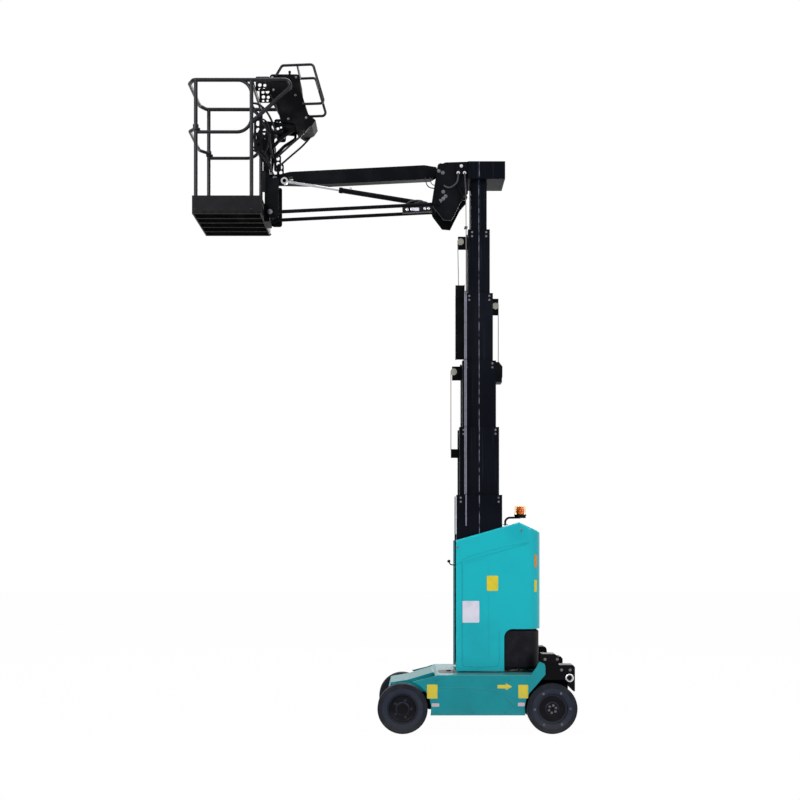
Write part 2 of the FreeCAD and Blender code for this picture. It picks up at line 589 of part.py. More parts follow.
def rounded_plan(body, name, low, front, rear, half_width, height, corner):
    """A block with rounded rear corners, as everything under the hood has."""
    plan = new_sketch(body, "XY", name, low)
    draw_outline(plan, ((front, f"-({half_width})"), (rear, f"-({half_width})"), (rear, half_width),
                        (front, half_width)))
    add_pad(body, plan, height)
    round_edges(body, lambda edge: runs_along(edge, "Z") and middle(edge).x > value(rear) - 1, corner)


def make_table():
    """The slewing plate with the inner race below it."""
    plate = new_body("table_plate")
    rounded_plan(plate, "table_plan", TABLE_FLOOR, "table_front_x", TABLE_REAR, TABLE_HALF,
                 f"table_top - {TABLE_FLOOR}", "hood_corner - hood_wall - pad_gap")
    race = make_ring("table_race", "ring_split - race_gap", "ring_inner", f"{FRAME_TOP} + pad_gap",
                     f"{TABLE_FLOOR} - {FRAME_TOP} - pad_gap")
    keep(fuse("turntable_plate", [plate, race]), "turntable_plate")


make_table()


def make_counterweight():
    """The cast weight that fills the rear of the turntable and shows in the hood's arch."""
    body = new_body("counterweight")
    rounded_plan(body, "weight_plan", "table_top", "weight_front_x", f"{TABLE_REAR} - 3", f"{TABLE_HALF} - 3",
                 "weight_top - table_top", "hood_corner - hood_wall - 3")
    round_edges(body, lambda edge: abs(middle(edge).z - value("weight_top")) < 0.5, "12")
    keep(body, "counterweight")


make_counterweight()
battery = new_box("battery", "battery_front_x", "-battery_half_width", "weight_top + pad_gap", "battery_length",
                  "2 * battery_half_width", "battery_height")
keep(battery, "battery_block")


def hood_block(name, inset):
    """The solid inside one face of the hood: its side profile padded across, with rounded corners and edges."""
    body = new_body(name)
    side = new_sketch(body, "XZ", name + "_side")
    front, rear = "hood_front_x - 30", f"hood_rear_x - {inset}"
    slope = "(hood_ridge - hood_front_top) / (hood_ridge_x - hood_front_x)"
    draw_outline(side, ((front, "hood_floor" if inset == "0" else "hood_floor - 30"),
                        (rear, "hood_floor" if inset == "0" else "hood_floor - 30"),
                        (rear, f"hood_rear_top - {inset}"), ("hood_ridge_x", f"hood_ridge - {inset}"),
                        (front, f"hood_front_top - 30 * {slope} - {inset}")))
    add_pad(body, side, f"2 * (hood_half_width - {inset})", symmetric=True)
    round_edges(body, lambda edge: runs_along(edge, "Z") and middle(edge).x > value(rear) - 1,
                f"hood_corner - {inset}")
    low = value("hood_front_top") - 60
    round_edges(body, lambda edge: middle(edge).z > low and not runs_along(edge, "Y")
                and middle(edge).x > value(front) + 1, f"hood_edge - {inset}")
    return body


def make_side_recess():
    """What is pressed into the hood's sides: a sunken panel, and above it a crease that runs with the top."""
    recess = new_body("hood_recess")
    side = new_sketch(recess, "XZ", "hood_recess_side")
    slope = "(hood_ridge - hood_front_top) / (hood_ridge_x - hood_front_x)"

    def crease(x, drop):
        return x, f"hood_front_top - crease_drop - {drop} + ({x} - hood_front_x) * {slope}"

    draw_outline(side, (("panel_front_x", "panel_floor"), ("panel_rear_x", "panel_floor"),
                        crease("panel_rear_x", "3 * crease_width"), crease("panel_front_x", "3 * crease_width")))
    draw_outline(side, (crease("(hood_front_x - 20)", "crease_width"), crease("crease_end_x", "crease_width"),
                        crease("crease_end_x", "0"), crease("(hood_front_x - 20)", "0")))
    add_pad(recess, side, "2 * hood_half_width + 20", symmetric=True)
    round_edges(recess, lambda edge: runs_along(edge, "Y")
                and value("panel_front_x") - 1 < middle(edge).x < value("panel_rear_x") + 1, "panel_corner")
    core = new_box("hood_recess_core", "hood_front_x - 100", "-hood_half_width + panel_depth", "0", "1000",
                   "2 * (hood_half_width - panel_depth)", "2500")
    return cut("hood_recess_skin", recess, core)


def make_hood():
    """A moulded shell round the mast's sides and back, in two halves that meet at the rear."""
    shell = cut("hood_shell", hood_block("hood_outer", "0"), hood_block("hood_inner", "hood_wall"))
    front = new_box("hood_front_cut", "hood_front_x - 100", "-400", "0", "100", "800", "2500")
    mast = new_box("hood_mast_cut", "hood_front_x - 10", "-mast_half_width - mast_gap", "hood_floor - 50",
                   "mast_front_x + mast_depth + mast_gap - hood_front_x + 10",
                   "2 * (mast_half_width + mast_gap)", "2000")
    arch = new_body("hood_arch_cut")
    side = new_sketch(arch, "XZ", "hood_arch_side")
    draw_outline(side, (("hood_arch_x", "hood_floor - 20"), ("hood_rear_x + 30", "hood_floor - 20"),
                        ("hood_rear_x + 30", "hood_arch_top"), ("hood_arch_x", "hood_arch_top")))
    add_pad(arch, side, "2 * hood_half_width + 60", symmetric=True)
    round_edges(arch, lambda edge: runs_along(edge, "Y") and middle(edge).z > value("hood_arch_top") - 1
                and middle(edge).x < value("hood_arch_x") + 1, "hood_arch_corner")
    opened = cut("hood_opened", shell, fuse("hood_openings", [front, mast, arch, make_side_recess()]))
    for side_name, low_y in (("left", "-500"), ("right", "0.5")):
        half = new_box(f"hood_{side_name}_half", "-600", low_y, "0", "1200", "499.5", "2500")
        keep(common("hood_" + side_name, opened, half), "hood_" + side_name)


make_hood()


def make_beacon():
    """The curved stalk on the hood's ridge, the lamp's base and its lens."""
    slope = "(hood_ridge - hood_front_top) / (hood_ridge_x - hood_front_x)"
    foot = f"hood_front_top + (beacon_foot_x - hood_front_x) * {slope}"
    route = points(("beacon_foot_x", "0", f"{foot} + 3"), ("beacon_foot_x", "0", "beacon_base - 14"),
                   ("beacon_x", "0", "beacon_base - 11"))
    stalk = bent_tube(route, 9, 40)
    flange = Part.makeCylinder(24, 5, FreeCAD.Vector(value("beacon_foot_x"), 0, value(foot) + 7.2))
    seat = FreeCAD.Vector(value("beacon_x"), 0, value("beacon_base - 16"))
    base = Part.makeCylinder(value("beacon_radius - 4"), 16, seat)
    keep(new_tubes("beacon_stalk", [stalk, flange, base]), "beacon_stalk")
    lens = new_round("beacon_lens", "Z", "beacon_x", "0", "beacon_base", "beacon_radius - 2", "beacon_height")
    keep(lens, "beacon_lens")


make_beacon()

# --- Mast --------------------------------------------------------------------------------------------------

STAGE_TOPS = ("stage_1_top", "stage_2_top", "stage_3_top", "stage_4_top", "stage_5_top", "head_floor")


def stage_half_width(stage):
    return f"(mast_half_width - {stage - 1} * mast_step_y)"


def stage_front(stage):
    return f"(mast_front_x + {stage - 1} * mast_step_x)"


def stage_rear(stage):
    return f"(mast_front_x + mast_depth - {stage - 1} * mast_step_x)"


def stage_slot(stage):
    return f"(mast_slot - {stage - 1} * mast_slot_step)"


def make_stage(stage):
    """A C-shaped section, open to the front between two lips, with slide pads at its top for the next one."""
    name, top = f"mast_stage_{stage}", STAGE_TOPS[stage - 1]
    low = "table_top" if stage == 1 else f"{top} - stage_length"
    half, front, rear, slot = stage_half_width(stage), stage_front(stage), stage_rear(stage), stage_slot(stage)
    body = new_body(name if stage == MAST_STAGES else name + "_section")
    plan = new_sketch(body, "XY", name + "_plan", low)
    inner_half, inner_front, inner_rear = f"{half} - mast_wall", f"{front} + mast_wall", f"{rear} - mast_wall"
    draw_outline(plan, (
        (front, f"-{slot}"), (front, f"-{half}"), (rear, f"-{half}"), (rear, half), (front, half), (front, slot),
        (inner_front, slot), (inner_front, inner_half), (inner_rear, inner_half), (inner_rear, f"-({inner_half})"),
        (inner_front, f"-({inner_half})"), (inner_front, f"-{slot}")))
    add_pad(body, plan, f"{top} - ({low})")
    notch = {1: "rear_notch_half", 2: "rear_notch_half", 3: "rear_lane_outer + 8"}.get(stage)
    if notch:
        inner_notch = "rear_lane_inner - 6" if stage == 3 else f"-({notch})"
        cutter = new_sketch(body, "YZ", name + "_notch", f"{rear} - 20")
        draw_outline(cutter, ((inner_notch, f"{top} - rear_notch_depth"), (notch, f"{top} - rear_notch_depth"),
                              (notch, f"{top} + 20"), (inner_notch, f"{top} + 20")))
        cut_pocket(body, cutter, "60", symmetric=False, backwards=True)
    if stage == MAST_STAGES:
        return keep(body, name)
    gap_x, gap_y = "(mast_step_x - mast_wall - pad_gap)", "(mast_step_y - mast_wall - pad_gap)"
    middle_x, pads = f"({front} + {rear}) / 2", []
    for side in (LEFT, RIGHT):
        low_y = f"{half} - mast_wall - {gap_y}" if side == RIGHT else f"-({half} - mast_wall)"
        pads.append(new_box(f"{name}_side_pad_{side + 1}", f"{middle_x} - pad_width / 2", low_y,
                            f"{top} - pad_drop - pad_height", "pad_width", gap_y, "pad_height"))
        lane = stage_half_width(stage + 1)
        lane_y = f"{lane} - 34" if side == RIGHT else f"-({lane} - 10)"
        pads.append(new_box(f"{name}_rear_pad_{side + 1}", f"{rear} - mast_wall - {gap_x}", lane_y,
                            f"{top} - pad_drop - pad_height", gap_x, "24", "pad_height"))
        pads.append(new_box(f"{name}_front_pad_{side + 1}", f"{front} + mast_wall", lane_y,
                            f"{top} - pad_drop - pad_height", gap_x, "24", "pad_height"))
    return keep(fuse(name, [body] + pads), name)


for stage in range(1, MAST_STAGES + 1):
    make_stage(stage)


# What stands out of the sections' tops: each lane lies beside the others, so that the sections can nest.

SHEAVE_SEAT = "(pad_gap + sheave_width / 2)"


def make_sheave(name, x, y, z):
    """A grooved rope wheel with its pin, across the machine, from its middle."""
    body = new_body(name)
    profile = new_sketch(body, "YZ", name + "_section")
    half, rim = "sheave_width / 2", "sheave_radius"
    draw_outline(profile, ((f"-{half}", "0"), (half, "0"), (half, rim), ("2", f"{rim} - 5"), ("-2", f"{rim} - 5"),
                           (f"-{half}", rim)))
    turn(body, profile)
    bind(body, Placement__Base__x=x, Placement__Base__y=y, Placement__Base__z=z)
    return body


def make_stage_2_anchor():
    """The anchor on the second section's lip that the front rope of the third section ends in."""
    slot = stage_slot(2)
    foot = new_box("anchor_foot", f"{stage_front(2)} - 10", f"{slot} - 36", "stage_2_top - 242", "10", "45", "75")
    arm = new_box("anchor_arm", f"{stage_front(2)} - 62", f"{slot} - 36", "stage_2_top - 242", "52", "16", "75")
    keep(fuse("stage_2_anchor", [foot, arm]), "stage_2_anchor")


def make_stage_3_brackets():
    """Front and rear sheave brackets on the third section."""
    slot = stage_slot(3)
    foot = new_box("stage_3_foot", f"{stage_front(3)} - 8", f"{slot} - 14", "stage_3_top - 134", "8", "23", "134")
    arm = new_box("stage_3_arm", f"{stage_front(3)} - 76", f"{slot} + 1", "stage_3_top - 134", "68",
                  "bracket_plate", "120")
    rear = stage_rear(3)
    plan = new_body("stage_3_rear_plate")
    side = new_sketch(plan, "XZ", "stage_3_rear_side", "rear_lane_outer - 4")
    draw_outline(side, ((rear, "stage_3_top - 168"), (f"{rear} + 44", "stage_3_top - 168"),
                        (f"{rear} + 60", "stage_3_top - 130"), (f"{rear} + 60", "stage_3_top - 40"),
                        (f"{rear} + 30", "stage_3_top - 2"), (rear, "stage_3_top - 2")))
    add_pad(plan, side, "bracket_plate", symmetric=True)
    flange = new_box("stage_3_rear_flange", rear, "-rear_lane_outer", "stage_3_top - 168", "bracket_plate",
                     "rear_lane_outer - rear_lane_inner", "166")
    shelf = new_box("stage_3_shelf", rear, "-rear_lane_inner - 20", "stage_3_top - 168", "60",
                    "rear_lane_outer + rear_lane_inner + 20", "44")
    keep(fuse("stage_3_front_bracket", [foot, arm]), "stage_3_front_bracket")
    keep(fuse("stage_3_rear_bracket", [plan, flange, shelf]), "stage_3_rear_bracket")
    sheave = make_sheave("stage_3_sheave", f"{stage_front(3)} - 62", f"{slot} + 1 - {SHEAVE_SEAT}",
                         "stage_3_top - 62")
    keep(sheave, "stage_3_sheave")


def make_stage_4_brackets():
    """The long front trough that guides the rope and hoses, and the rear sheave bracket, on the fourth section."""
    slot, front, rear = stage_slot(4), stage_front(4), stage_rear(4)
    back = new_box("trough_foot", f"{front} - 8", f"-({slot}) - 9", "stage_4_top - 546", "8", "23", "630")
    floor = new_box("trough_web", f"{front} - 78", f"-({slot}) + 6", "stage_4_top - 546", "70", "8", "630")
    face = new_box("trough_face", f"{front} - 78", f"-({slot}) + 14", "stage_4_top - 546", "8", "24", "546")
    keep(fuse("stage_4_trough", [back, floor, face]), "stage_4_trough")
    plate = new_box("stage_4_rear_plate", rear, "rear_lane_outer - 12", "stage_4_top - 143", "66",
                    "bracket_plate", "143")
    flange = new_box("stage_4_rear_flange", rear, "rear_lane_inner", "stage_4_top - 143", "bracket_plate",
                     "rear_lane_outer - rear_lane_inner - 4", "143")
    keep(fuse("stage_4_rear_bracket", [plate, flange]), "stage_4_rear_bracket")
    sheave = make_sheave("stage_4_sheave", f"{rear} + 40", f"rear_lane_outer - 12 - {SHEAVE_SEAT}",
                         "stage_4_top - 64")
    keep(sheave, "stage_4_sheave")


def make_stage_5_bracket():
    """The front sheave bracket on the fifth section."""
    slot, front = stage_slot(5), stage_front(5)
    foot = new_box("stage_5_foot", f"{front} - 8", f"{slot} - 14", "stage_5_top - 126", "8", "23", "126")
    arm = new_box("stage_5_arm", f"{front} - 76", f"{slot} + 1", "stage_5_top - 126", "68", "bracket_plate", "112")
    keep(fuse("stage_5_front_bracket", [foot, arm]), "stage_5_front_bracket")
    sheave = make_sheave("stage_5_sheave", f"{front} - 54", f"{slot} + 1 - {SHEAVE_SEAT}", "stage_5_top - 60")
    keep(sheave, "stage_5_sheave")


make_stage_2_anchor()
make_stage_3_brackets()
make_stage_4_brackets()
make_stage_5_bracket()

# --- Mast head ---------------------------------------------------------------------------------------------

LINK_X = "(jib_x + link_offset_x)"
LINK_Z = "(jib_z + link_offset_z)"


def make_head():
    """The box beam on the last section, open at its rear end."""
    body = new_body("mast_head")
    side = new_sketch(body, "XZ", "head_side")
    top = "(head_floor + head_height)"
    draw_outline(side, (("head_front_x", "head_floor"), ("head_rear_x", "head_floor"), ("head_rear_x", top),
                        ("head_front_x", top)))
    add_pad(body, side, "2 * head_half_width", symmetric=True)
    round_edges(body, lambda edge: runs_along(edge, "X"), "8")
    inside = new_sketch(body, "YZ", "head_inside", "head_rear_x")
    wall = "head_wall"
    draw_outline(inside, ((f"-head_half_width + {wall}", f"head_floor + {wall}"),
                          (f"head_half_width - {wall}", f"head_floor + {wall}"),
                          (f"head_half_width - {wall}", f"{top} - {wall}"),
                          (f"-head_half_width + {wall}", f"{top} - {wall}")))
    cut_pocket(body, inside, "head_rear_x - head_front_x - 30", symmetric=False)
    keep(body, "mast_head")


def make_cheeks():
    """The head's two side plates, which hold the jib's pins, joined by those pins."""
    plates = []
    for side, name in ((LEFT, "left"), (RIGHT, "right")):
        body = new_body("cheek_" + name)
        outline = new_sketch(body, "XZ", f"cheek_{name}_side", f"{-side} * (cheek_inner + cheek_plate / 2)")
        draw_outline(outline, (
            ("head_front_x - pad_gap", "head_floor - 118"), ("head_front_x - pad_gap", "head_floor + head_height"),
            ("jib_x + 40", "head_floor + head_height - 6"), ("jib_x - 26", "jib_z + 8"),
            (f"{LINK_X} - 44", f"{LINK_Z} + 10"), (f"{LINK_X} - 30", f"{LINK_Z} - 34"),
            (f"{LINK_X} + 52", f"{LINK_Z} - 142"), (f"{LINK_X} + 122", f"{LINK_Z} - 148"),
            (f"{LINK_X} + 204", f"{LINK_Z} + 16")))
        add_pad(body, outline, "cheek_plate", symmetric=True)
        plates.append(body)
    end, span = "-cheek_inner - cheek_plate - 4", "2 * (cheek_inner + cheek_plate + 4)"
    plates.append(new_round("jib_pin_upper", "Y", "jib_x", end, "jib_z", "jib_pin", span))
    plates.append(new_round("jib_pin_lower", "Y", LINK_X, end, LINK_Z, "jib_pin", span))
    stiffener = new_box("cheek_stiffener", "head_front_x - 44", "-cheek_inner", "head_floor + 20", "10",
                        "2 * cheek_inner", "110")
    keep(fuse("head_cheeks", plates + [stiffener]), "head_cheeks")


make_head()
make_cheeks()

# --- Jib ---------------------------------------------------------------------------------------------------

def tilt(body, x, z, angle):
    """Hangs a piece drawn along -X from its pivot at an angle above the level."""
    body.Placement = FreeCAD.Placement(FreeCAD.Vector(), FreeCAD.Rotation(FreeCAD.Vector(0, 1, 0), 1))
    bind(body, Placement__Base__x=x, Placement__Base__z=z, Placement__Rotation__Angle=angle)


def make_jib_beam():
    """The upper box beam, tapered to an eye at each end, with a window near the platform."""
    body = new_body("jib_beam")
    side = new_sketch(body, "XZ", "jib_side")
    top, low = "jib_depth / 2 - 4", "-jib_depth / 2 - 4"
    draw_outline(side, (("-30", "-34"), ("-86", low), ("-jib_length + 440", low), ("-jib_length + 160", "-44"),
                        ("-jib_length + 20", "-34"), ("-jib_length + 20", "34"), ("-jib_length + 130", top),
                        ("-134", top), ("-30", "34")))
    add_pad(body, side, "2 * jib_half_width", symmetric=True)
    for name, across in (("mast", "0"), ("platform", "-jib_length")):
        boss = new_sketch(body, "XZ", f"jib_boss_{name}")
        draw_circle(boss, across, "0", "jib_eye")
        add_pad(body, boss, "2 * jib_half_width", symmetric=True)
        bore = new_sketch(body, "XZ", f"jib_bore_{name}")
        draw_circle(bore, across, "0", "jib_pin + fit")
        cut_pocket(body, bore)
    stub = new_sketch(body, "XZ", "jib_rod_stub", "jib_half_width")
    draw_circle(stub, "-jib_length + rod_eye_inset", "-rod_eye_drop", "jib_pin")
    add_pad(body, stub, "-cylinder_middle - barrel_radius + 2 - jib_half_width")
    window = new_sketch(body, "XZ", "jib_window")
    draw_outline(window, (("-jib_length + 118", "-14"), ("-jib_length + 156", "-18"), ("-jib_length + 156", "18"),
                          ("-jib_length + 118", "14")))
    cut_pocket(body, window)
    tilt(body, "jib_x", "jib_z", "-jib_droop")
    keep(body, "jib_beam")


def make_link(name, side):
    """One lower bar of the parallelogram: a round bar with a flat eye at each end."""
    body = new_body(name)
    section = new_sketch(body, "YZ", name + "_section", "-link_eye")
    draw_circle(section, f"{side} * link_middle", "0", "link_radius")
    pad = add_pad(body, section, "jib_length - 2 * link_eye")
    pad.Reversed = True
    doc.recompute()
    for end, across in (("mast", "0"), ("platform", "-jib_length")):
        eye = new_sketch(body, "XZ", f"{name}_eye_{end}", f"{-side} * link_middle")
        draw_circle(eye, across, "0", "link_eye + 4")
        add_pad(body, eye, "2 * link_radius - 4", symmetric=True)
        bore = new_sketch(body, "XZ", f"{name}_bore_{end}")
        draw_circle(bore, across, "0", "jib_pin + fit")
        cut_pocket(body, bore)
    tilt(body, LINK_X, LINK_Z, "-jib_droop")
    keep(body, name)


def make_barrel():
    """The lift cylinder's barrel: an eye on the lower pin, a neck and a tube bored for the rod, with a gland."""
    body = new_body("jib_cylinder_barrel")
    profile = new_sketch(body, "XY", "barrel_section")
    bore = "(barrel_radius - barrel_wall)"
    draw_outline(profile, (("-jib_pin - 4", "0"), ("-barrel_start - 14", "0"), ("-barrel_start - 14", bore),
                           ("-barrel_end + 34", bore), ("-barrel_end + 34", "rod_radius + fit"),
                           ("-barrel_end", "rod_radius + fit"), ("-barrel_end", "barrel_radius"),
                           ("-barrel_start", "barrel_radius"), ("-barrel_start", "barrel_radius - 7"),
                           ("-jib_pin - 4", "barrel_radius - 7")))
    turn(body, profile)
    eye = new_sketch(body, "XZ", "barrel_eye")
    draw_circle(eye, "0", "0", "jib_pin + 16")
    add_pad(body, eye, "2 * barrel_radius - 6", symmetric=True)
    bore_sketch = new_sketch(body, "XZ", "barrel_bore")
    draw_circle(bore_sketch, "0", "0", "jib_pin + fit")
    cut_pocket(body, bore_sketch)
    tilt(body, LINK_X, LINK_Z, "cylinder_lift")
    bind(body, Placement__Base__y="cylinder_middle")
    keep(body, "jib_cylinder_barrel")


def make_rod():
    """The chromed rod: a piston inside the barrel and an eye at the platform."""
    body = new_body("jib_cylinder_rod")
    profile = new_sketch(body, "XY", "rod_section")
    piston = "(barrel_radius - barrel_wall - fit)"
    draw_outline(profile, (("-rod_start", "0"), ("-rod_reach + 10", "0"), ("-rod_reach + 10", "rod_radius"),
                           ("-rod_start - 30", "rod_radius"), ("-rod_start - 30", piston), ("-rod_start", piston)))
    turn(body, profile)
    eye = new_sketch(body, "XZ", "rod_eye")
    draw_circle(eye, "-rod_reach", "0", "jib_pin + 14")
    add_pad(body, eye, "2 * barrel_radius - 8", symmetric=True)
    bore = new_sketch(body, "XZ", "rod_bore")
    draw_circle(bore, "-rod_reach", "0", "jib_pin + fit")
    cut_pocket(body, bore)
    tilt(body, LINK_X, LINK_Z, "cylinder_lift")
    bind(body, Placement__Base__y="cylinder_middle")
    keep(body, "jib_cylinder_rod")


make_jib_beam()
make_link("jib_link_left", LEFT)
make_link("jib_link_right", RIGHT)
make_barrel()
make_rod()


def make_valve_block():
    """The valve block clamped under the left lower bar, next to the mast head."""
    body = new_body("valve_block")
    side = new_sketch(body, "XZ", "valve_side", "valve_middle")
    top = "-link_radius - pad_gap"
    end, low = "-valve_start - valve_length", f"{top} - valve_height"
    draw_outline(side, (("-valve_start", top), (end, top), (end, low), ("-valve_start", low)))
    add_pad(body, side, "valve_width", symmetric=True)
    round_edges(body, lambda edge: runs_along(edge, "Y"), "5")
    tilt(body, LINK_X, LINK_Z, "-jib_droop")
    keep(body, "valve_block")


make_valve_block()

# --- Platform ----------------------------------------------------------------------------------------------

UPPER_X = "(jib_x - jib_length * cos(jib_droop * 1deg))"
UPPER_Z = "(jib_z - jib_length * sin(jib_droop * 1deg))"
LOWER_X, LOWER_Z = f"({UPPER_X} + link_offset_x)", f"({UPPER_Z} + link_offset_z)"
FLOOR_TOP = "(floor_bottom + floor_height)"
POST_FACE = "(post_x + post_depth)"


def make_carrier():
    """The upright that carries the platform: a post with lugs and the pins of the beam and the lower bars."""
    post = new_box("carrier_post", "post_x", "-post_half_width", "post_floor", "post_depth", "2 * post_half_width",
                   "post_top - post_floor")
    lugs = []
    for name, low_y in (("near", "-jib_half_width - 7 - lug_plate"), ("far", "jib_half_width + 7")):
        lugs.append(new_box(f"carrier_lug_upper_{name}", f"{POST_FACE} - 5", low_y, f"{UPPER_Z} - 34",
                            f"{UPPER_X} + 28 - {POST_FACE} + 5", "lug_plate", "68"))
    for name, low_y in (("near", "-post_half_width + 6"), ("far", "post_half_width - 6 - lug_plate")):
        lugs.append(new_box(f"carrier_lug_lower_{name}", f"{POST_FACE} - 5", low_y, f"{LOWER_Z} - 30",
                            f"{LOWER_X} + 30 - {POST_FACE} + 5", "lug_plate", "60"))
    upper_pin = new_round("carrier_pin_upper", "Y", UPPER_X, "-jib_half_width - 7 - lug_plate", UPPER_Z, "jib_pin",
                          "2 * (jib_half_width + 7 + lug_plate)")
    lower_pin = new_round("carrier_pin_lower", "Y", LOWER_X, "-link_middle - link_radius - 2", LOWER_Z, "jib_pin",
                          "2 * (link_middle + link_radius + 2)")
    keep(fuse("platform_carrier", [post, upper_pin, lower_pin] + lugs), "platform_carrier")


def make_floor():
    """The platform's floor: a sheet on a frame of cross members, open below, with a tread sheet on it."""
    body = new_body("platform_floor")
    plan = new_sketch(body, "XY", "floor_plan", "floor_bottom")
    draw_outline(plan, (("floor_x", "-floor_half_width"), ("post_x", "-floor_half_width"),
                        ("post_x", "floor_half_width"), ("floor_x", "floor_half_width")))
    add_pad(body, plan, "floor_height")
    pitch = "((2 * floor_half_width - floor_rim) / floor_cells)"
    cell = new_sketch(body, "XY", "floor_cell", "floor_bottom")
    low_y = "(-floor_half_width + floor_rim)"
    draw_outline(cell, (("floor_x + floor_rim", low_y), ("post_x - floor_rim", low_y),
                        ("post_x - floor_rim", f"{low_y} + {pitch} - floor_rim"),
                        ("floor_x + floor_rim", f"{low_y} + {pitch} - floor_rim")))
    pocket = cut_pocket(body, cell, "floor_height - floor_sheet", symmetric=False, backwards=True)
    cells = body.newObject("PartDesign::LinearPattern", "floor_cells_pattern")
    cells.Originals = [pocket]
    cells.Direction = ([axis for axis in body.Origin.OriginFeatures if axis.Role == "Y_Axis"][0], [""])
    bind(cells, Occurrences="floor_cells", Length=f"{pitch} * (floor_cells - 1)")
    body.Tip = cells
    tread = new_sketch(body, "XY", "floor_tread", FLOOR_TOP)
    low_x, high_x = "floor_x + toe_wall + pad_gap", "post_x - toe_wall - pad_gap"
    reach = "(rail_half_width - rail_radius - pad_gap)"
    draw_outline(tread, ((low_x, f"-{reach}"), (high_x, f"-{reach}"), (high_x, reach), (low_x, reach)))
    add_pad(body, tread, "tread_sheet")
    keep(body, "platform_floor")


def make_toe_board():
    """The upright sheet round the floor's edge."""
    body = new_body("toe_board")
    plan = new_sketch(body, "XY", "toe_plan", FLOOR_TOP)
    for inset in ("0", "toe_wall"):
        draw_outline(plan, ((f"floor_x + {inset}", f"-floor_half_width + {inset}"),
                            (f"post_x - {inset}", f"-floor_half_width + {inset}"),
                            (f"post_x - {inset}", f"floor_half_width - {inset}"),
                            (f"floor_x + {inset}", f"floor_half_width - {inset}")))
    add_pad(body, plan, "toe_height")
    keep(body, "toe_board")


def make_guard_rails():
    """The top rail round three sides, its ends bent back to the rear posts, four posts and a loop each side."""
    half, front, post, reach = "rail_half_width", "rail_front_x", "rail_post_x", "rail_reach_x"
    top, mid, radius, bend = "rail_top", "rail_mid", value("rail_radius"), value("rail_bend")
    hoop = points((post, f"-{half}", "rail_top - 350"), (reach, f"-{half}", top), (f"{front} - 20", f"-{half}", top),
                  (f"{front} - rail_bow", f"-{half} + 90", top), (f"{front} - rail_bow", f"{half} - 90", top),
                  (f"{front} - 20", half, top), (reach, half, top), (post, half, "rail_top - 350"))
    solids = [bent_tube(hoop, radius, bend)]
    for side in (LEFT, RIGHT):
        y = side * value(half)
        for x in (value(front), value(post)):
            foot = FreeCAD.Vector(x, y, value(FLOOR_TOP))
            solids.append(Part.makeCylinder(radius, value(f"{top} - {FLOOR_TOP}"), foot))
        loop = points((front, f"{side} * {half}", mid), (post, f"{side} * {half}", mid),
                      (post, f"{side} * {half}", top), (front, f"{side} * {half}", top))
        solids.append(bent_tube(loop, value("mid_rail_radius"), value("loop_bend")))
    for height in (mid, top):
        ends = points((post, f"-{half}", height), (post, half, height))
        solids.append(straight_bar(*ends, value("mid_rail_radius")))
    keep(new_tubes("guard_rails", solids), "guard_rails")


def make_entry_bar():
    """The bar across the entry, which slides up its two posts on sleeves."""
    half, front, low = "rail_half_width", "rail_front_x", "(rail_mid + mid_rail_radius + pad_gap)"
    height = f"{low} + entry_sleeve_height / 2"
    route = points((front, f"-{half} + 16", height), (f"{front} - rail_bow", f"-{half} + 100", height),
                   (f"{front} - rail_bow", f"{half} - 100", height), (front, f"{half} - 16", height))
    solids = [bent_tube(route, value("mid_rail_radius"), value("rail_bend"))]
    bores = []
    for side in (LEFT, RIGHT):
        foot = FreeCAD.Vector(value(front), side * value(half), value(low))
        solids.append(Part.makeCylinder(value("entry_sleeve"), value("entry_sleeve_height"), foot))
        bores.append(Part.makeCylinder(value("rail_radius + fit"), value("entry_sleeve_height") + 2,
                                       foot - FreeCAD.Vector(0, 0, 1)))
    made = doc.addObject("Part::Feature", "entry_bar")
    made.Shape = solids[0].fuse(solids[1:]).cut(bores)
    keep(made, "entry_bar")


def make_rail_brackets():
    """Two plates with slots that stand on the carrier's sides and hold the rails and the console."""
    plates = []
    for side, name in ((LEFT, "left"), (RIGHT, "right")):
        body = new_body("rail_bracket_" + name)
        outline = new_sketch(body, "XZ", f"bracket_{name}_side",
                             f"{-side} * (post_half_width + pad_gap + console_plate / 2)")
        edge = "rail_post_x + mid_rail_radius + pad_gap"
        draw_outline(outline, (
            (f"{POST_FACE}", "post_top - 200"), (f"{POST_FACE} + 20", "post_top - 40"),
            (f"{POST_FACE} + 110", "post_top + 60"), (f"{POST_FACE} + 210", "post_top + 130"),
            (f"{POST_FACE} + 214", "console_floor"), (f"{POST_FACE} + 60", "console_floor + 20"),
            (f"{POST_FACE} - 40", "console_floor + 30"), (edge, "rail_mid + 60"), (edge, "rail_mid - 60"),
            ("post_x", "post_top - 120"), ("post_x", "post_top - 200")))
        add_pad(body, outline, "console_plate", symmetric=True)
        slot = new_sketch(body, "XZ", f"bracket_{name}_slot")
        draw_outline(slot, ((f"{POST_FACE} - 64", "rail_mid + 16"), (f"{POST_FACE} - 28", "rail_mid + 16"),
                            (f"{POST_FACE} - 28", "rail_mid + 34"), (f"{POST_FACE} - 64", "rail_mid + 34")))
        pocket = cut_pocket(body, slot)
        slots = body.newObject("PartDesign::LinearPattern", f"bracket_{name}_slots")
        slots.Originals = [pocket]
        slots.Direction = ([axis for axis in body.Origin.OriginFeatures if axis.Role == "Z_Axis"][0], [""])
        slots.Length = 72
        slots.Occurrences = 3
        body.Tip = slots
        plates.append(body)
    keep(fuse("rail_brackets", plates), "rail_brackets")


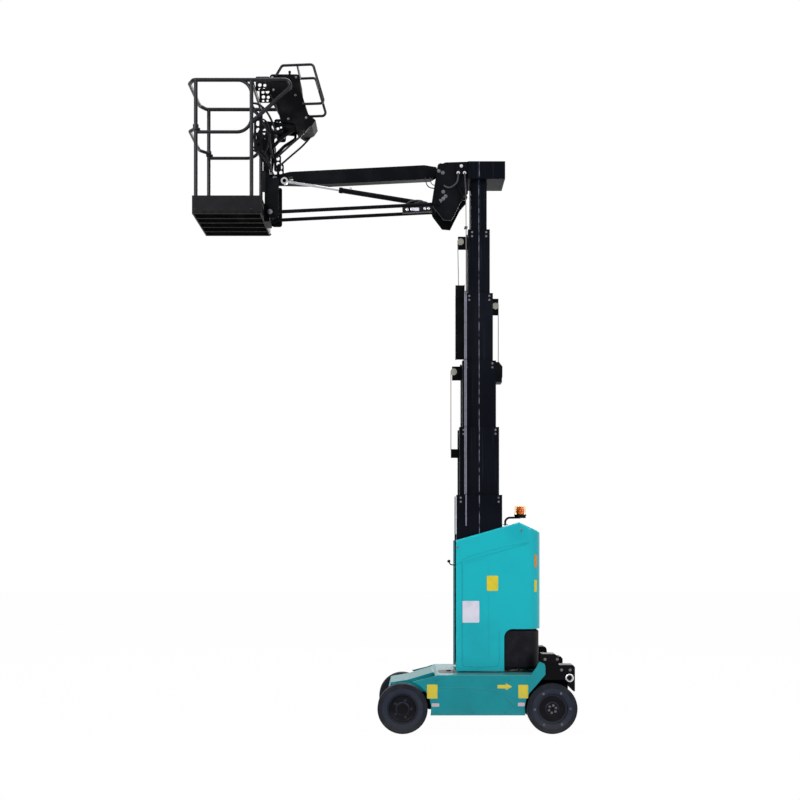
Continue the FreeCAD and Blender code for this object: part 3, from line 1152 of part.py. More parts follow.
def make_console():
    """The control box: a level upper part over the platform's edge and a tilted lower part behind it."""
    body = new_body("console_box")
    side = new_sketch(body, "XZ", "console_side")
    low = "console_floor"
    corners = ((98, 15.4), (214, 0.3), (224, -20), (281, -60), (362, -15), (393, 30), (332, 80), (271, 271),
               (256, 415), (6, 415), (6, 261), (67, 149))
    draw_outline(side, [(f"{POST_FACE} + {x}", f"{low} + {z}") for x, z in corners])
    add_pad(body, side, "2 * console_half_width", symmetric=True)
    top = value(low) + 250
    round_edges(body, lambda edge: runs_along(edge, "Y") and middle(edge).z > top, "26")
    keep(body, "console_box")


def make_console_guard():
    """Two bent bars beside the console, joined across, that shield it."""
    solids, low = [], "console_floor"
    y = value("console_half_width + console_bar + pad_gap")
    for side in (LEFT, RIGHT):
        route = [FreeCAD.Vector(value(f"{POST_FACE} + {x}"), side * y, value(f"{low} + {z}"))
                 for x, z in ((280, 160), (468, 166), (372, 494), (112, 484), (60, 396))]
        solids.append(bent_tube(route, value("console_bar"), 30))
    for x, z in ((405, 381), (240, 489)):
        across = FreeCAD.Vector(value(f"{POST_FACE} + {x}"), -y, value(f"{low} + {z}"))
        solids.append(Part.makeCylinder(value("console_bar - 1"), 2 * y, across, FreeCAD.Vector(0, 1, 0)))
    keep(new_tubes("console_guard", solids), "console_guard")


make_carrier()
make_floor()
make_toe_board()
make_guard_rails()
make_entry_bar()
make_rail_brackets()
make_console()
make_console_guard()


# --- Checking and writing ----------------------------------------------------------------------------------

doc.recompute()
for thing in doc.Objects:
    if {"Invalid", "Error"} & set(thing.State):
        raise RuntimeError(f"{thing.Label} failed: {thing.State}")
for piece in pieces:
    if piece.Shape.isNull() or not piece.Shape.isValid():
        raise RuntimeError(f"{piece.Label} has no valid shape")
os.makedirs("parts", exist_ok=True)
for piece in pieces:
    piece.Shape.exportStep(f"parts/{piece.Label}.step")
print(len(pieces), "pieces")
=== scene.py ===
"""The finish of the vertical mast lift: paint, rubber, labels left blank, fasteners, ropes, hoses and cables,
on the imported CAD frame. Everything is in metres. +X points to the machine's rear, +Y to its right side.
"""
import math

import bpy
from mathutils import Matrix, Vector


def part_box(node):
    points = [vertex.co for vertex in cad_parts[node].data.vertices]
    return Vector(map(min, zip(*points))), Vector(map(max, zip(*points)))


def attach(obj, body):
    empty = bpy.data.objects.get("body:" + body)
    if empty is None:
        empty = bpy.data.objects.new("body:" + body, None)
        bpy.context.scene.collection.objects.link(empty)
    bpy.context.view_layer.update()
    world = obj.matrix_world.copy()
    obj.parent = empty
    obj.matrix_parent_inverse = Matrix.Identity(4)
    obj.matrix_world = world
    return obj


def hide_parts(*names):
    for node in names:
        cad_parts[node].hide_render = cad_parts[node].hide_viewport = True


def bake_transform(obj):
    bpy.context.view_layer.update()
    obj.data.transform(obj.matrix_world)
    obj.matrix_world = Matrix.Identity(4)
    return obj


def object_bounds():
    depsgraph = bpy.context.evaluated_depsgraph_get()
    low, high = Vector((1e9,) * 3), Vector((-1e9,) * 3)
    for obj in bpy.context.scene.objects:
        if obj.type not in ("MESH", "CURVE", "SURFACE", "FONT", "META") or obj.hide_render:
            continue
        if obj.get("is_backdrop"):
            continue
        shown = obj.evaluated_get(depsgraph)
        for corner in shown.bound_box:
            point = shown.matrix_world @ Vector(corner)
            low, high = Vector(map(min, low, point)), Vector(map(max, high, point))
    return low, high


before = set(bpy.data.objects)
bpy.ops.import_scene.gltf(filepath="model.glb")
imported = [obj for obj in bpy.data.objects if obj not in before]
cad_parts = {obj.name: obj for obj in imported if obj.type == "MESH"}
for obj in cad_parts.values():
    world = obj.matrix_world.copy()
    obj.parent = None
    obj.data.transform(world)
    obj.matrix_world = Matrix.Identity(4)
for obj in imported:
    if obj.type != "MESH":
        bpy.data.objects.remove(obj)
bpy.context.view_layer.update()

# --- Studio ------------------------------------------------------------------------------------------------
# The machine stands on a plain pale floor in soft light: a large lamp from the front left, a weaker one from
# the right and one overhead. The camera stands at chest height on the machine's left side.

scene = bpy.context.scene
scene.view_settings.view_transform = "Standard"

bpy.ops.object.camera_add(location=(0.161, -10.5, 1.54), rotation=(math.pi / 2, 0, 0))
camera = bpy.context.object
camera.data.lens = 55.35
camera.data.shift_y = 0.18125
scene.camera = camera

for name, place, size, power in (("key_lamp", (-5.0, -6.5, 6.5), 4.0, 480),
                                 ("fill_lamp", (5.5, -5.0, 4.5), 4.0, 250),
                                 ("top_lamp", (0.5, 0.5, 9.0), 4.0, 260),
                                 ("back_lamp", (2.0, 6.5, 5.0), 4.0, 210)):
    bpy.ops.object.light_add(type="AREA", location=place)
    lamp = bpy.context.object
    lamp.name, lamp.data.size, lamp.data.energy = name, size, power
    lamp.rotation_euler = (Vector((0.2, 0, 2.2)) - Vector(place)).to_track_quat("-Z", "Y").to_euler()


def background_ray(nodes, links):
    """1 for a ray that comes from the camera, a mirror or glass, and 0 for any other."""
    ray = nodes.new("ShaderNodeLightPath")
    seen, any_ray = nodes.new("ShaderNodeMath"), nodes.new("ShaderNodeMath")
    seen.operation = any_ray.operation = "MAXIMUM"
    links.new(ray.outputs["Is Camera Ray"], seen.inputs[0])
    links.new(ray.outputs["Is Transmission Ray"], seen.inputs[1])
    links.new(seen.outputs[0], any_ray.inputs[0])
    links.new(ray.outputs["Is Glossy Ray"], any_ray.inputs[1])
    return any_ray.outputs[0]


def background_surface(name, lit, shown):
    """A pale surface that takes shadow, and that the camera and mirrors see nearly white."""
    material = bpy.data.materials.new(name)
    material.use_nodes = True
    nodes, links = material.node_tree.nodes, material.node_tree.links
    nodes.clear()
    output = nodes.new("ShaderNodeOutputMaterial")
    diffuse = nodes.new("ShaderNodeBsdfDiffuse")
    diffuse.inputs["Color"].default_value = (lit, lit, lit, 1)
    glow = nodes.new("ShaderNodeEmission")
    glow.inputs["Color"].default_value = (1, 1, 1, 1)
    mix, share = nodes.new("ShaderNodeMixShader"), nodes.new("ShaderNodeMath")
    share.operation = "MULTIPLY"
    share.inputs[1].default_value = shown
    links.new(background_ray(nodes, links), share.inputs[0])
    links.new(share.outputs[0], mix.inputs[0])
    links.new(diffuse.outputs[0], mix.inputs[1])
    links.new(glow.outputs[0], mix.inputs[2])
    links.new(mix.outputs[0], output.inputs[0])
    return material


bpy.ops.mesh.primitive_plane_add(size=60, location=(0, 0, 0))
floor = bpy.context.object
floor.name = "studio_floor"
floor.data.materials.append(background_surface("floor_pale", 0.8, 0.985))
floor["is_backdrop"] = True

world = bpy.data.worlds.new("studio_air")
world.use_nodes = True
air, air_links = world.node_tree.nodes, world.node_tree.links
air.clear()
air_output, air_light, air_seen, air_mix = (air.new("ShaderNodeOutputWorld"), air.new("ShaderNodeBackground"),
                                            air.new("ShaderNodeBackground"), air.new("ShaderNodeMixShader"))
air_light.inputs["Color"].default_value = (0.86, 0.90, 1.0, 1)
air_light.inputs["Strength"].default_value = 0.34
air_seen.inputs["Color"].default_value = (1, 1, 1, 1)
air_links.new(background_ray(air, air_links), air_mix.inputs[0])
air_links.new(air_light.outputs[0], air_mix.inputs[1])
air_links.new(air_seen.outputs[0], air_mix.inputs[2])
air_links.new(air_mix.outputs[0], air_output.inputs[0])
scene.world = world

# --- Hood --------------------------------------------------------------------------------------------------
# The hood is two moulded shells in glossy turquoise gelcoat, screwed to the turntable. Road dust clings low
# down, and hands and rain leave faint clouds in the gloss.


def new_group(name, inputs, outputs):
    """An empty node group with float inputs and the outputs given."""
    group = bpy.data.node_groups.new(name, "ShaderNodeTree")
    for label, default in inputs:
        socket = group.interface.new_socket(label, in_out="INPUT", socket_type="NodeSocketFloat")
        socket.default_value = default
    for label, kind in outputs:
        group.interface.new_socket(label, in_out="OUTPUT", socket_type="NodeSocket" + kind)
    return group, group.nodes.new("NodeGroupInput"), group.nodes.new("NodeGroupOutput")


def make_weathering():
    """Clouds of dirt, dust that thickens towards the ground, fine grain and a bump made from that grain."""
    group, given, result = new_group(
        "weathering", (("Cloud scale", 3), ("Grain scale", 400), ("Bump", 0.1), ("Dust height", 0.5),
                       ("Top dust", 0)),
        (("Cloud", "Float"), ("Grain", "Float"), ("Dust", "Float"), ("Normal", "Vector")))
    add, link = group.nodes.new, group.links.new
    place = add("ShaderNodeTexCoord")
    cloud, grain = add("ShaderNodeTexNoise"), add("ShaderNodeTexNoise")
    cloud.inputs["Detail"].default_value = 5
    for noise, scale in ((cloud, "Cloud scale"), (grain, "Grain scale")):
        link(place.outputs["Object"], noise.inputs["Vector"])
        link(given.outputs[scale], noise.inputs["Scale"])
    height, low, thick = add("ShaderNodeSeparateXYZ"), add("ShaderNodeMapRange"), add("ShaderNodeMath")
    link(place.outputs["Object"], height.inputs[0])
    link(height.outputs["Z"], low.inputs["Value"])
    link(given.outputs["Dust height"], low.inputs["From Min"])
    low.inputs["From Max"].default_value = 0.0
    thick.operation = "MULTIPLY"
    link(low.outputs[0], thick.inputs[0])
    link(cloud.outputs["Fac"], thick.inputs[1])
    facing, level, settled, most = (add("ShaderNodeNewGeometry"), add("ShaderNodeSeparateXYZ"),
                                    add("ShaderNodeMath"), add("ShaderNodeMath"))
    settled.operation, settled.use_clamp, most.operation = "MULTIPLY", True, "MAXIMUM"
    link(facing.outputs["Normal"], level.inputs[0])
    link(level.outputs["Z"], settled.inputs[0])
    link(given.outputs["Top dust"], settled.inputs[1])
    link(thick.outputs[0], most.inputs[0])
    link(settled.outputs[0], most.inputs[1])
    bump = add("ShaderNodeBump")
    bump.inputs["Distance"].default_value = 0.001
    link(given.outputs["Bump"], bump.inputs["Strength"])
    link(grain.outputs["Fac"], bump.inputs["Height"])
    link(cloud.outputs["Fac"], result.inputs["Cloud"])
    link(grain.outputs["Fac"], result.inputs["Grain"])
    link(most.outputs[0], result.inputs["Dust"])
    link(bump.outputs[0], result.inputs["Normal"])
    return group


weathering = make_weathering()


def new_finish(name, clean, worn, dust, rough, cloud=3, grain=400, bump=0.1, dust_height=0.5, top_dust=0.0,
               metallic=0.0, coat=0.0, gleam=0.3, wear=(0.45, 0.75)):
    """A weathered finish: the clean colour clouds over to the worn one, with dust low down."""
    material = bpy.data.materials.new(name)
    material.use_nodes = True
    nodes, links = material.node_tree.nodes, material.node_tree.links
    shader = nodes["Principled BSDF"]
    shader.inputs["Metallic"].default_value = metallic
    shader.inputs["Coat Weight"].default_value = coat
    shader.inputs["Specular IOR Level"].default_value = gleam
    shader.inputs["Coat Roughness"].default_value = 0.08
    effect = nodes.new("ShaderNodeGroup")
    effect.node_tree = weathering
    for label, amount in (("Cloud scale", cloud), ("Grain scale", grain), ("Bump", bump),
                          ("Dust height", dust_height), ("Top dust", top_dust)):
        effect.inputs[label].default_value = amount
    spread, shade, dusty, gloss = (nodes.new("ShaderNodeMapRange"), nodes.new("ShaderNodeMix"),
                                   nodes.new("ShaderNodeMix"), nodes.new("ShaderNodeMapRange"))
    shade.data_type = dusty.data_type = "RGBA"
    spread.inputs["From Min"].default_value, spread.inputs["From Max"].default_value = wear
    links.new(effect.outputs["Cloud"], spread.inputs["Value"])
    links.new(spread.outputs[0], shade.inputs["Factor"])
    shade.inputs["A"].default_value, shade.inputs["B"].default_value = (*clean, 1), (*worn, 1)
    links.new(effect.outputs["Dust"], dusty.inputs["Factor"])
    links.new(shade.outputs["Result"], dusty.inputs["A"])
    dusty.inputs["B"].default_value = (*dust, 1)
    links.new(dusty.outputs["Result"], shader.inputs["Base Color"])
    gloss.inputs["From Min"].default_value, gloss.inputs["From Max"].default_value = 0.3, 0.7
    gloss.inputs["To Min"].default_value, gloss.inputs["To Max"].default_value = rough
    links.new(effect.outputs["Grain"], gloss.inputs["Value"])
    links.new(gloss.outputs[0], shader.inputs["Roughness"])
    links.new(effect.outputs["Normal"], shader.inputs["Normal"])
    return material


def give(material, *names):
    """Puts one finish on CAD nodes."""
    for name in names:
        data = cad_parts[name].data
        data.materials.clear()
        data.materials.append(material)


hood_gelcoat = new_finish("hood_gelcoat", (0.001, 0.385, 0.435), (0.001, 0.31, 0.365), (0.002, 0.30, 0.33),
                          (0.16, 0.28), cloud=2.2, grain=260, bump=0.03, coat=0.1, gleam=0.18)
give(hood_gelcoat, "hood_left", "hood_right")

hood_side, hood_panel_depth, label_film = -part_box("hood_left")[0].y, 0.003, 0.0008
both_sides = ((-1, "left"), (1, "right"))


def select_only(piece):
    """Selects one piece alone and makes it the active one."""
    bpy.ops.object.select_all(action="DESELECT")
    piece.select_set(True)
    bpy.context.view_layer.objects.active = piece


def edit_all():
    """Goes into edit mode with the whole mesh selected."""
    bpy.ops.object.mode_set(mode="EDIT")
    bpy.ops.mesh.select_all(action="SELECT")


def face_outwards():
    """Turns every face outwards and leaves edit mode."""
    bpy.ops.mesh.select_all(action="SELECT")
    bpy.ops.mesh.normals_make_consistent(inside=False)
    bpy.ops.object.mode_set(mode="OBJECT")


def finish_piece(piece, name, material, body):
    """Names a piece, sets its mesh at the origin, gives it a finish and lets it ride on its body, when one is
    given.
    """
    select_only(piece)
    bpy.ops.object.transform_apply(location=True, rotation=True, scale=True)
    piece.name = name
    piece.data.materials.clear()
    piece.data.materials.append(material)
    if body:
        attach(piece, body)
    return piece


def joined(parts):
    """One object from several, at the origin."""
    bpy.ops.object.select_all(action="DESELECT")
    for part in parts:
        part.select_set(True)
    bpy.context.view_layer.objects.active = parts[0]
    bpy.ops.object.transform_apply(location=True, rotation=True, scale=True)
    bpy.ops.object.join()
    return bpy.context.object


def screw(place, normal, radius, height, corners=6, washer=1.7):
    """A bolt head on its washer, standing on a surface."""
    towards = Vector(normal).to_track_quat("Z", "Y").to_euler()
    place, parts = Vector(place), []
    for size, low, tall, sides in ((radius * washer, 0, height * 0.25, 16),
                                   (radius, height * 0.25, height * 0.75, corners)):
        middle = place + Vector(normal) * (low + tall / 2)
        bpy.ops.mesh.primitive_cylinder_add(vertices=sides, radius=size, depth=tall, location=middle,
                                            rotation=towards)
        parts.append(bpy.context.object)
    edit_all()
    bpy.ops.mesh.bevel(offset=radius * 0.12, segments=1)
    bpy.ops.object.mode_set(mode="OBJECT")
    return joined(parts)


def rounded_plate(middle, width, height, corner, thick, facing):
    """A thin plate with rounded corners, upright, that faces along Y or, with facing "top", up."""
    turn = (0, 0, 0) if facing == "top" else (math.pi / 2, 0, 0) if facing < 0 else (-math.pi / 2, 0, 0)
    bpy.ops.mesh.primitive_plane_add(size=1, location=middle, rotation=turn)
    plate = bpy.context.object
    plate.scale = (width, height, 1)
    bpy.ops.object.transform_apply(location=False, rotation=False, scale=True)
    edit_all()
    bpy.ops.mesh.bevel(offset=corner, segments=5, affect="VERTICES")
    bpy.ops.mesh.extrude_region_move(TRANSFORM_OT_translate={"value": (0, 0, thick), "orient_type": "NORMAL"})
    face_outwards()
    return plate


label_yellow = new_finish("label_yellow", (0.62, 0.50, 0.02), (0.50, 0.42, 0.04), (0.3, 0.3, 0.15),
                          (0.3, 0.45), cloud=14, grain=500, bump=0.05)
label_white = new_finish("label_white", (0.62, 0.60, 0.68), (0.50, 0.49, 0.58), (0.4, 0.4, 0.4), (0.3, 0.45),
                         cloud=12, grain=500, bump=0.05)
label_pale = new_finish("label_pale", (0.55, 0.40, 0.42), (0.45, 0.33, 0.36), (0.4, 0.4, 0.4), (0.35, 0.5),
                        cloud=12)
zinc = new_finish("zinc_plate", (0.16, 0.16, 0.18), (0.07, 0.07, 0.08), (0.08, 0.075, 0.07), (0.3, 0.5),
                  cloud=30, grain=800, bump=0.1, metallic=0.9)

for side, word in both_sides:
    labels = ((0.929, hood_side, 1.222, 0.094, 0.125, label_yellow, "yellow"),
              (0.747, hood_side - hood_panel_depth, 0.985, 0.146, 0.180, label_white, "white"))
    for x, out, z, width, height, material, tint in labels:
        label = rounded_plate((x, side * out, z), width, height, 0.008, label_film, side)
        finish_piece(label, f"hood_label_{tint}_{word}", material, "turntable")
    screws = [screw((x, side * hood_side, z), (0, side, 0), 0.006, 0.004, corners=12)
              for x, z in ((0.64, 1.52), (1.17, 1.66))]
    finish_piece(joined(screws), f"hood_screws_{word}", zinc, "turntable")

# --- Chassis covers ----------------------------------------------------------------------------------------
# The deck and nose covers are pressed and folded steel sheet in the hood's colour, bolted to the frame. They
# are dustier than the hood, and the top of the deck is scuffed by boots.

cover_paint = new_finish("cover_paint", (0.001, 0.225, 0.255), (0.001, 0.175, 0.20), (0.06, 0.20, 0.20),
                         (0.28, 0.45), cloud=4, grain=600, bump=0.05, dust_height=0.22, top_dust=0.75,
                         coat=0.1, gleam=0.2)
give(cover_paint, "deck_cover", "nose_cover")

skirt_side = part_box("deck_cover")[1].y


def from_points(points, edges, faces):
    """An object from bare points, selected, for the operators that shape it next."""
    mesh = bpy.data.meshes.new("outline")
    mesh.from_pydata(points, edges, faces)
    piece = bpy.data.objects.new("outline", mesh)
    scene.collection.objects.link(piece)
    select_only(piece)
    return piece


def sheet_arrow(middle, length, height, thick, side):
    """A flat arrow pointing to the rear, cut from film."""
    outline = ((-0.5, -0.25), (0.06, -0.25), (0.06, -0.5), (0.5, 0), (0.06, 0.5), (0.06, 0.25), (-0.5, 0.25))
    arrow = from_points([(middle[0] + x * length, middle[1], middle[2] + z * height) for x, z in outline], [],
                        [tuple(range(len(outline)))])
    edit_all()
    bpy.ops.mesh.extrude_region_move(TRANSFORM_OT_translate={"value": (0, side * thick, 0)})
    face_outwards()
    return arrow


def pressed_bead(route, radius, name, material, body):
    """A half-round bead along a route, as a press leaves in sheet, or a bent rod."""
    curve = bpy.data.curves.new(name, "CURVE")
    curve.dimensions, curve.bevel_depth, curve.bevel_resolution, curve.use_fill_caps = "3D", radius, 3, True
    spline = curve.splines.new("NURBS")
    spline.points.add(len(route) - 1)
    for point, corner in zip(spline.points, route):
        point.co = (*corner, 1)
    spline.order_u, spline.use_endpoint_u = 3, True
    rod = bpy.data.objects.new(name, curve)
    scene.collection.objects.link(rod)
    select_only(rod)
    bpy.ops.object.convert(target="MESH")
    bpy.ops.object.shade_smooth()
    return finish_piece(bpy.context.object, name, material, body)


for side, word in both_sides:
    skirt = side * skirt_side
    signs = ((0.424, 0.345, 0.085, 0.115, label_yellow, "front"),
             (1.166, 0.345, 0.080, 0.110, label_yellow, "rear"),
             (0.450, 0.235, 0.062, 0.028, label_pale, "front_small"),
             (1.150, 0.240, 0.056, 0.030, label_pale, "rear_small"))
    for x, z, width, height, material, tint in signs:
        label = rounded_plate((x, skirt, z), width, height, 0.006, label_film, side)
        finish_piece(label, f"skirt_label_{tint}_{word}", material, "chassis")
    arrow = sheet_arrow((1.016, skirt, 0.385), 0.12, 0.056, label_film, side)
    finish_piece(arrow, f"skirt_arrow_{word}", label_yellow, "chassis")
    curve_points = ((0.49, 0.372), (0.63, 0.376), (0.80, 0.368), (0.95, 0.345), (1.06, 0.312), (1.12, 0.28))
    arc = [(x, skirt - side * 0.0012, z) for x, z in curve_points]
    pressed_bead(arc, 0.0035, f"skirt_bead_{word}", cover_paint, "chassis")
    bolt_points = ((0.46, 0.44), (0.75, 0.44), (1.05, 0.44), (0.46, 0.175), (0.75, 0.175), (1.02, 0.175))
    bolts = [screw((x, skirt, z), (0, side, 0), 0.007, 0.005) for x, z in bolt_points]
    finish_piece(joined(bolts), f"skirt_bolts_{word}", cover_paint, "chassis")
pressed_bead([(x, -0.4716, z) for x, z in ((1.024, 0.302), (1.05, 0.272), (1.106, 0.212))], 0.005,
             "skirt_rib", cover_paint, "chassis")

merge_gap = 0.00002


def turned(profile, middle, along, sides=48, closed=False):
    """A solid turned from a profile of radii and distances along its axis."""
    ends = [(number, number + 1) for number in range(len(profile) - 1)]
    if closed:
        ends.append((len(profile) - 1, 0))
    solid = from_points([(radius, 0, distance) for radius, distance in profile], ends, [])
    edit_all()
    bpy.ops.mesh.spin(steps=sides, angle=2 * math.pi, center=(0, 0, 0), axis=(0, 0, 1))
    bpy.ops.mesh.select_all(action="SELECT")
    bpy.ops.mesh.remove_doubles(threshold=merge_gap)
    face_outwards()
    bpy.ops.object.shade_smooth_by_angle(angle=0.6)
    solid.rotation_euler = Vector(along).to_track_quat("Z", "Y").to_euler()
    solid.location = middle
    return solid


moulded_black = new_finish("moulded_black", (0.0022, 0.0022, 0.003), (0.005, 0.005, 0.006),
                           (0.012, 0.011, 0.010), (0.28, 0.42), cloud=7, grain=900, bump=0.12,
                           dust_height=0.3, gleam=0.06)
deck_top = 0.4802
# The deck's recess is not cut: a flat black plate on the deck top stands in for it, and its dark colour is
# painted shade of the hollow. The knob in it is a real part.
recess_shade_plate = rounded_plate((0.55, -0.19, deck_top), 0.14, 0.26, 0.06, 0.0012, "top")
finish_piece(recess_shade_plate, "deck_recess_painted_shade", moulded_black, "chassis")
finish_piece(turned([(0, 0.010), (0.012, 0.010), (0.018, 0.007), (0.020, 0.0012), (0, 0.0012)],
                    (0.57, -0.15, deck_top), (0, 0, 1), 24), "deck_knob", moulded_black, "chassis")

# --- Frame, axles and rear boxes ---------------------------------------------------------------------------
# The frame with its two front guards, the axles, the knuckles and the turntable plate are welded plate in
# satin black. The boxes beside the tail are moulded, with lids, latches and a charging socket, and the
# counterweight is a casting.

frame_black = new_finish("frame_black", (0.0028, 0.0032, 0.0042), (0.007, 0.0078, 0.0095),
                         (0.02, 0.018, 0.016), (0.32, 0.5), cloud=6, grain=320, bump=0.12, dust_height=0.3,
                         gleam=0.03)
give(frame_black, "chassis_frame", "tie_down_lugs", "front_axle", "rear_axle", "knuckle_left",
     "knuckle_right", "turntable_plate")
give(moulded_black, "rear_box_left", "rear_box_right")
cast_black = new_finish("cast_black", (0.0045, 0.004, 0.0065), (0.012, 0.011, 0.016), (0.02, 0.018, 0.017),
                        (0.42, 0.62), cloud=14, grain=110, bump=0.6, dust_height=0.5, gleam=0.1)
give(cast_black, "counterweight")
battery_grey = new_finish("battery_grey", (0.09, 0.09, 0.10), (0.12, 0.12, 0.125), (0.2, 0.19, 0.17),
                          (0.45, 0.6), cloud=9)
give(battery_grey, "battery_block")
ring_steel = new_finish("ring_steel", (0.26, 0.25, 0.24), (0.10, 0.09, 0.08), (0.08, 0.07, 0.06),
                        (0.25, 0.45), cloud=20, grain=900, bump=0.15, metallic=0.9)
give(ring_steel, "slew_ring")

for side, word in both_sides:
    guard = rounded_plate((0.418, side * 0.15, 0.245), 0.057, 0.14, 0.010, 0.13, side)
    finish_piece(guard, f"frame_guard_{word}", frame_black, "chassis")

bright_nickel = new_finish("bright_nickel", (0.72, 0.72, 0.74), (0.5, 0.5, 0.52), (0.3, 0.29, 0.27),
                           (0.18, 0.3), cloud=40, grain=900, bump=0.05, metallic=1.0)
socket_x, socket_z = 1.545, 0.455
for side, word in both_sides:
    low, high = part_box(f"rear_box_{word}")
    outer = low.y if side < 0 else high.y
    socket = turned([(0.018, 0.0), (0.032, 0.0), (0.034, 0.003), (0.034, 0.010), (0.030, 0.013),
                     (0.024, 0.013), (0.021, 0.006), (0.018, 0.004)], (socket_x, outer, socket_z),
                    (0, side, 0), closed=True)
    finish_piece(socket, f"charge_socket_{word}", bright_nickel, "chassis")
    cap = turned([(0, 0.006), (0.016, 0.006), (0.021, 0.004), (0.021, 0.0), (0, 0.0)],
                 (socket_x, outer, socket_z), (0, side, 0), 32)
    finish_piece(cap, f"charge_cap_{word}", moulded_black, "chassis")
    lid = 0.003
    lids = [rounded_plate((x, outer, z), width, height, 0.010, lid, side)
            for x, z, width, height in ((1.395, 0.607, 0.13, 0.055), (1.515, 0.52, 0.10, 0.05),
                                        (1.395, 0.545, 0.11, 0.03))]
    finish_piece(joined(lids), f"rear_box_lids_{word}", moulded_black, "chassis")
    catches = [screw((x, outer + side * lid, z), (0, side, 0), 0.007, 0.005, corners=12)
               for x, z in ((1.345, 0.607), (1.445, 0.607), (1.48, 0.52), (1.55, 0.52))]
    finish_piece(joined(catches), f"rear_box_catches_{word}", zinc, "chassis")

# --- Wheels ------------------------------------------------------------------------------------------------
# Solid non-marking tyres, grey with scuffs and small lugs round the shoulder, are pressed on steel rims in
# dark blue-grey paint. The front hubs sit deep in a black cup with five nuts, the rear ones under a cover.

tyre_rubber = new_finish("tyre_rubber", (0.012, 0.014, 0.020), (0.024, 0.025, 0.032), (0.045, 0.044, 0.046),
                         (0.62, 0.82), cloud=10, grain=300, bump=0.4, dust_height=0.16, gleam=0.1)
rim_paint = new_finish("rim_paint", (0.014, 0.018, 0.031), (0.022, 0.026, 0.040), (0.045, 0.045, 0.048),
                       (0.3, 0.5), cloud=9, grain=500, bump=0.08, dust_height=0.2, gleam=0.15)
hub_black = new_finish("hub_black", (0.0015, 0.0015, 0.003), (0.005, 0.005, 0.007), (0.02, 0.019, 0.018),
                       (0.3, 0.5), cloud=12, grain=700, bump=0.1, dust_height=0.2, gleam=0.1)


def middle_of(node):
    """The middle of a CAD node's box."""
    low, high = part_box(node)
    return (Vector(low) + Vector(high)) / 2


def ring_of(piece, count, middle, turn=0.0):
    """Copies of one piece set round the axle line, each with its own mesh, joined."""
    select_only(piece)
    bpy.ops.object.transform_apply(location=True, rotation=True, scale=True)
    copies = []
    for number in range(count):
        copy = piece.copy()
        copy.data = piece.data.copy()
        angle = turn + number * 2 * math.pi / count
        spin = Matrix.Rotation(angle, 4, "Y")
        spin = Matrix.Translation(middle) @ spin @ Matrix.Translation(-Vector(middle))
        copy.data.transform(spin)
        scene.collection.objects.link(copy)
        copies.append(copy)
    bpy.data.objects.remove(piece)
    return joined(copies)


def shoulder_lug(middle, side):
    """One small moulded rib across the tyre's shoulder, with its top corners cut."""
    bpy.ops.mesh.primitive_cube_add(size=1, location=(middle.x, middle.y + side * 0.0575, middle.z + 0.1955))
    lug = bpy.context.object
    lug.scale, lug.rotation_euler = (0.0045, 0.016, 0.006), (side * 0.62, 0, 0)
    bpy.ops.object.transform_apply(location=True, rotation=True, scale=True)
    edit_all()
    bpy.ops.mesh.bevel(offset=0.0008, segments=1)
    bpy.ops.object.mode_set(mode="OBJECT")
    return lug


flange_rise, hub_depth = 0.0022, 0.022
for end in ("front", "rear"):
    for side, word in both_sides:
        wheel = f"{end}_{word}"
        give(tyre_rubber, f"tyre_{wheel}")
        give(rim_paint, f"rim_{wheel}")
        low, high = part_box(f"tyre_{wheel}")
        middle = middle_of(f"tyre_{wheel}")
        outer = Vector((middle.x, high.y if side > 0 else low.y, middle.z))
        body = f"wheel_{wheel}"
        finish_piece(ring_of(shoulder_lug(middle, side), 72, middle), f"tyre_lugs_{wheel}", tyre_rubber, body)
        flange = turned([(0.124, -0.004), (0.127, 0.0008), (0.132, flange_rise), (0.160, flange_rise),
                         (0.166, 0.0008), (0.168, -0.003)],
                        outer, (0, side, 0), 72, closed=True)
        finish_piece(flange, f"rim_flange_{wheel}", rim_paint, body)
        face = outer - Vector((0, side * hub_depth, 0))
        if end == "front":
            cup = turned([(0, 0.014), (0.046, 0.014), (0.052, 0.004), (0.094, 0.0025), (0.101, 0.007),
                          (0.106, 0.007), (0.110, 0.0005), (0, 0.0005)], face, (0, side, 0), 64)
            nut = screw(face + Vector((0, side * 0.003, 0.071)), (0, side, 0), 0.0075, 0.012)
            nuts = ring_of(nut, 5, middle, 0.3)
            finish_piece(nuts, f"wheel_nuts_{wheel}", rim_paint, body)
        else:
            cup = turned([(0, 0.0155), (0.040, 0.0155), (0.048, 0.0145), (0.052, 0.004), (0.101, 0.0025),
                          (0.106, 0.0005), (0, 0.0005)], face, (0, side, 0), 64)
            hub_bolt = screw(face + Vector((0, side * 0.0155, 0.030)), (0, side, 0), 0.006, 0.004)
            hub_bolts = ring_of(hub_bolt, 6, middle, 0.2)
            stud = screw(outer + Vector((0, side * flange_rise, 0.1455)), (0, side, 0), 0.006, 0.004)
            studs = ring_of(stud, 6, middle, 0.5)
            finish_piece(joined([hub_bolts, studs]), f"wheel_nuts_{wheel}", zinc, body)
        finish_piece(cup, f"hub_cover_{wheel}", hub_black, body)

# --- Hood fittings and beacon ------------------------------------------------------------------------------
# A lowering lever with a ball stands out of the hood's front, and a raised bead outlines each shell. The
# beacon is a clear dome with a lobed amber lens inside it, on a dark foot at the end of a bent stalk.

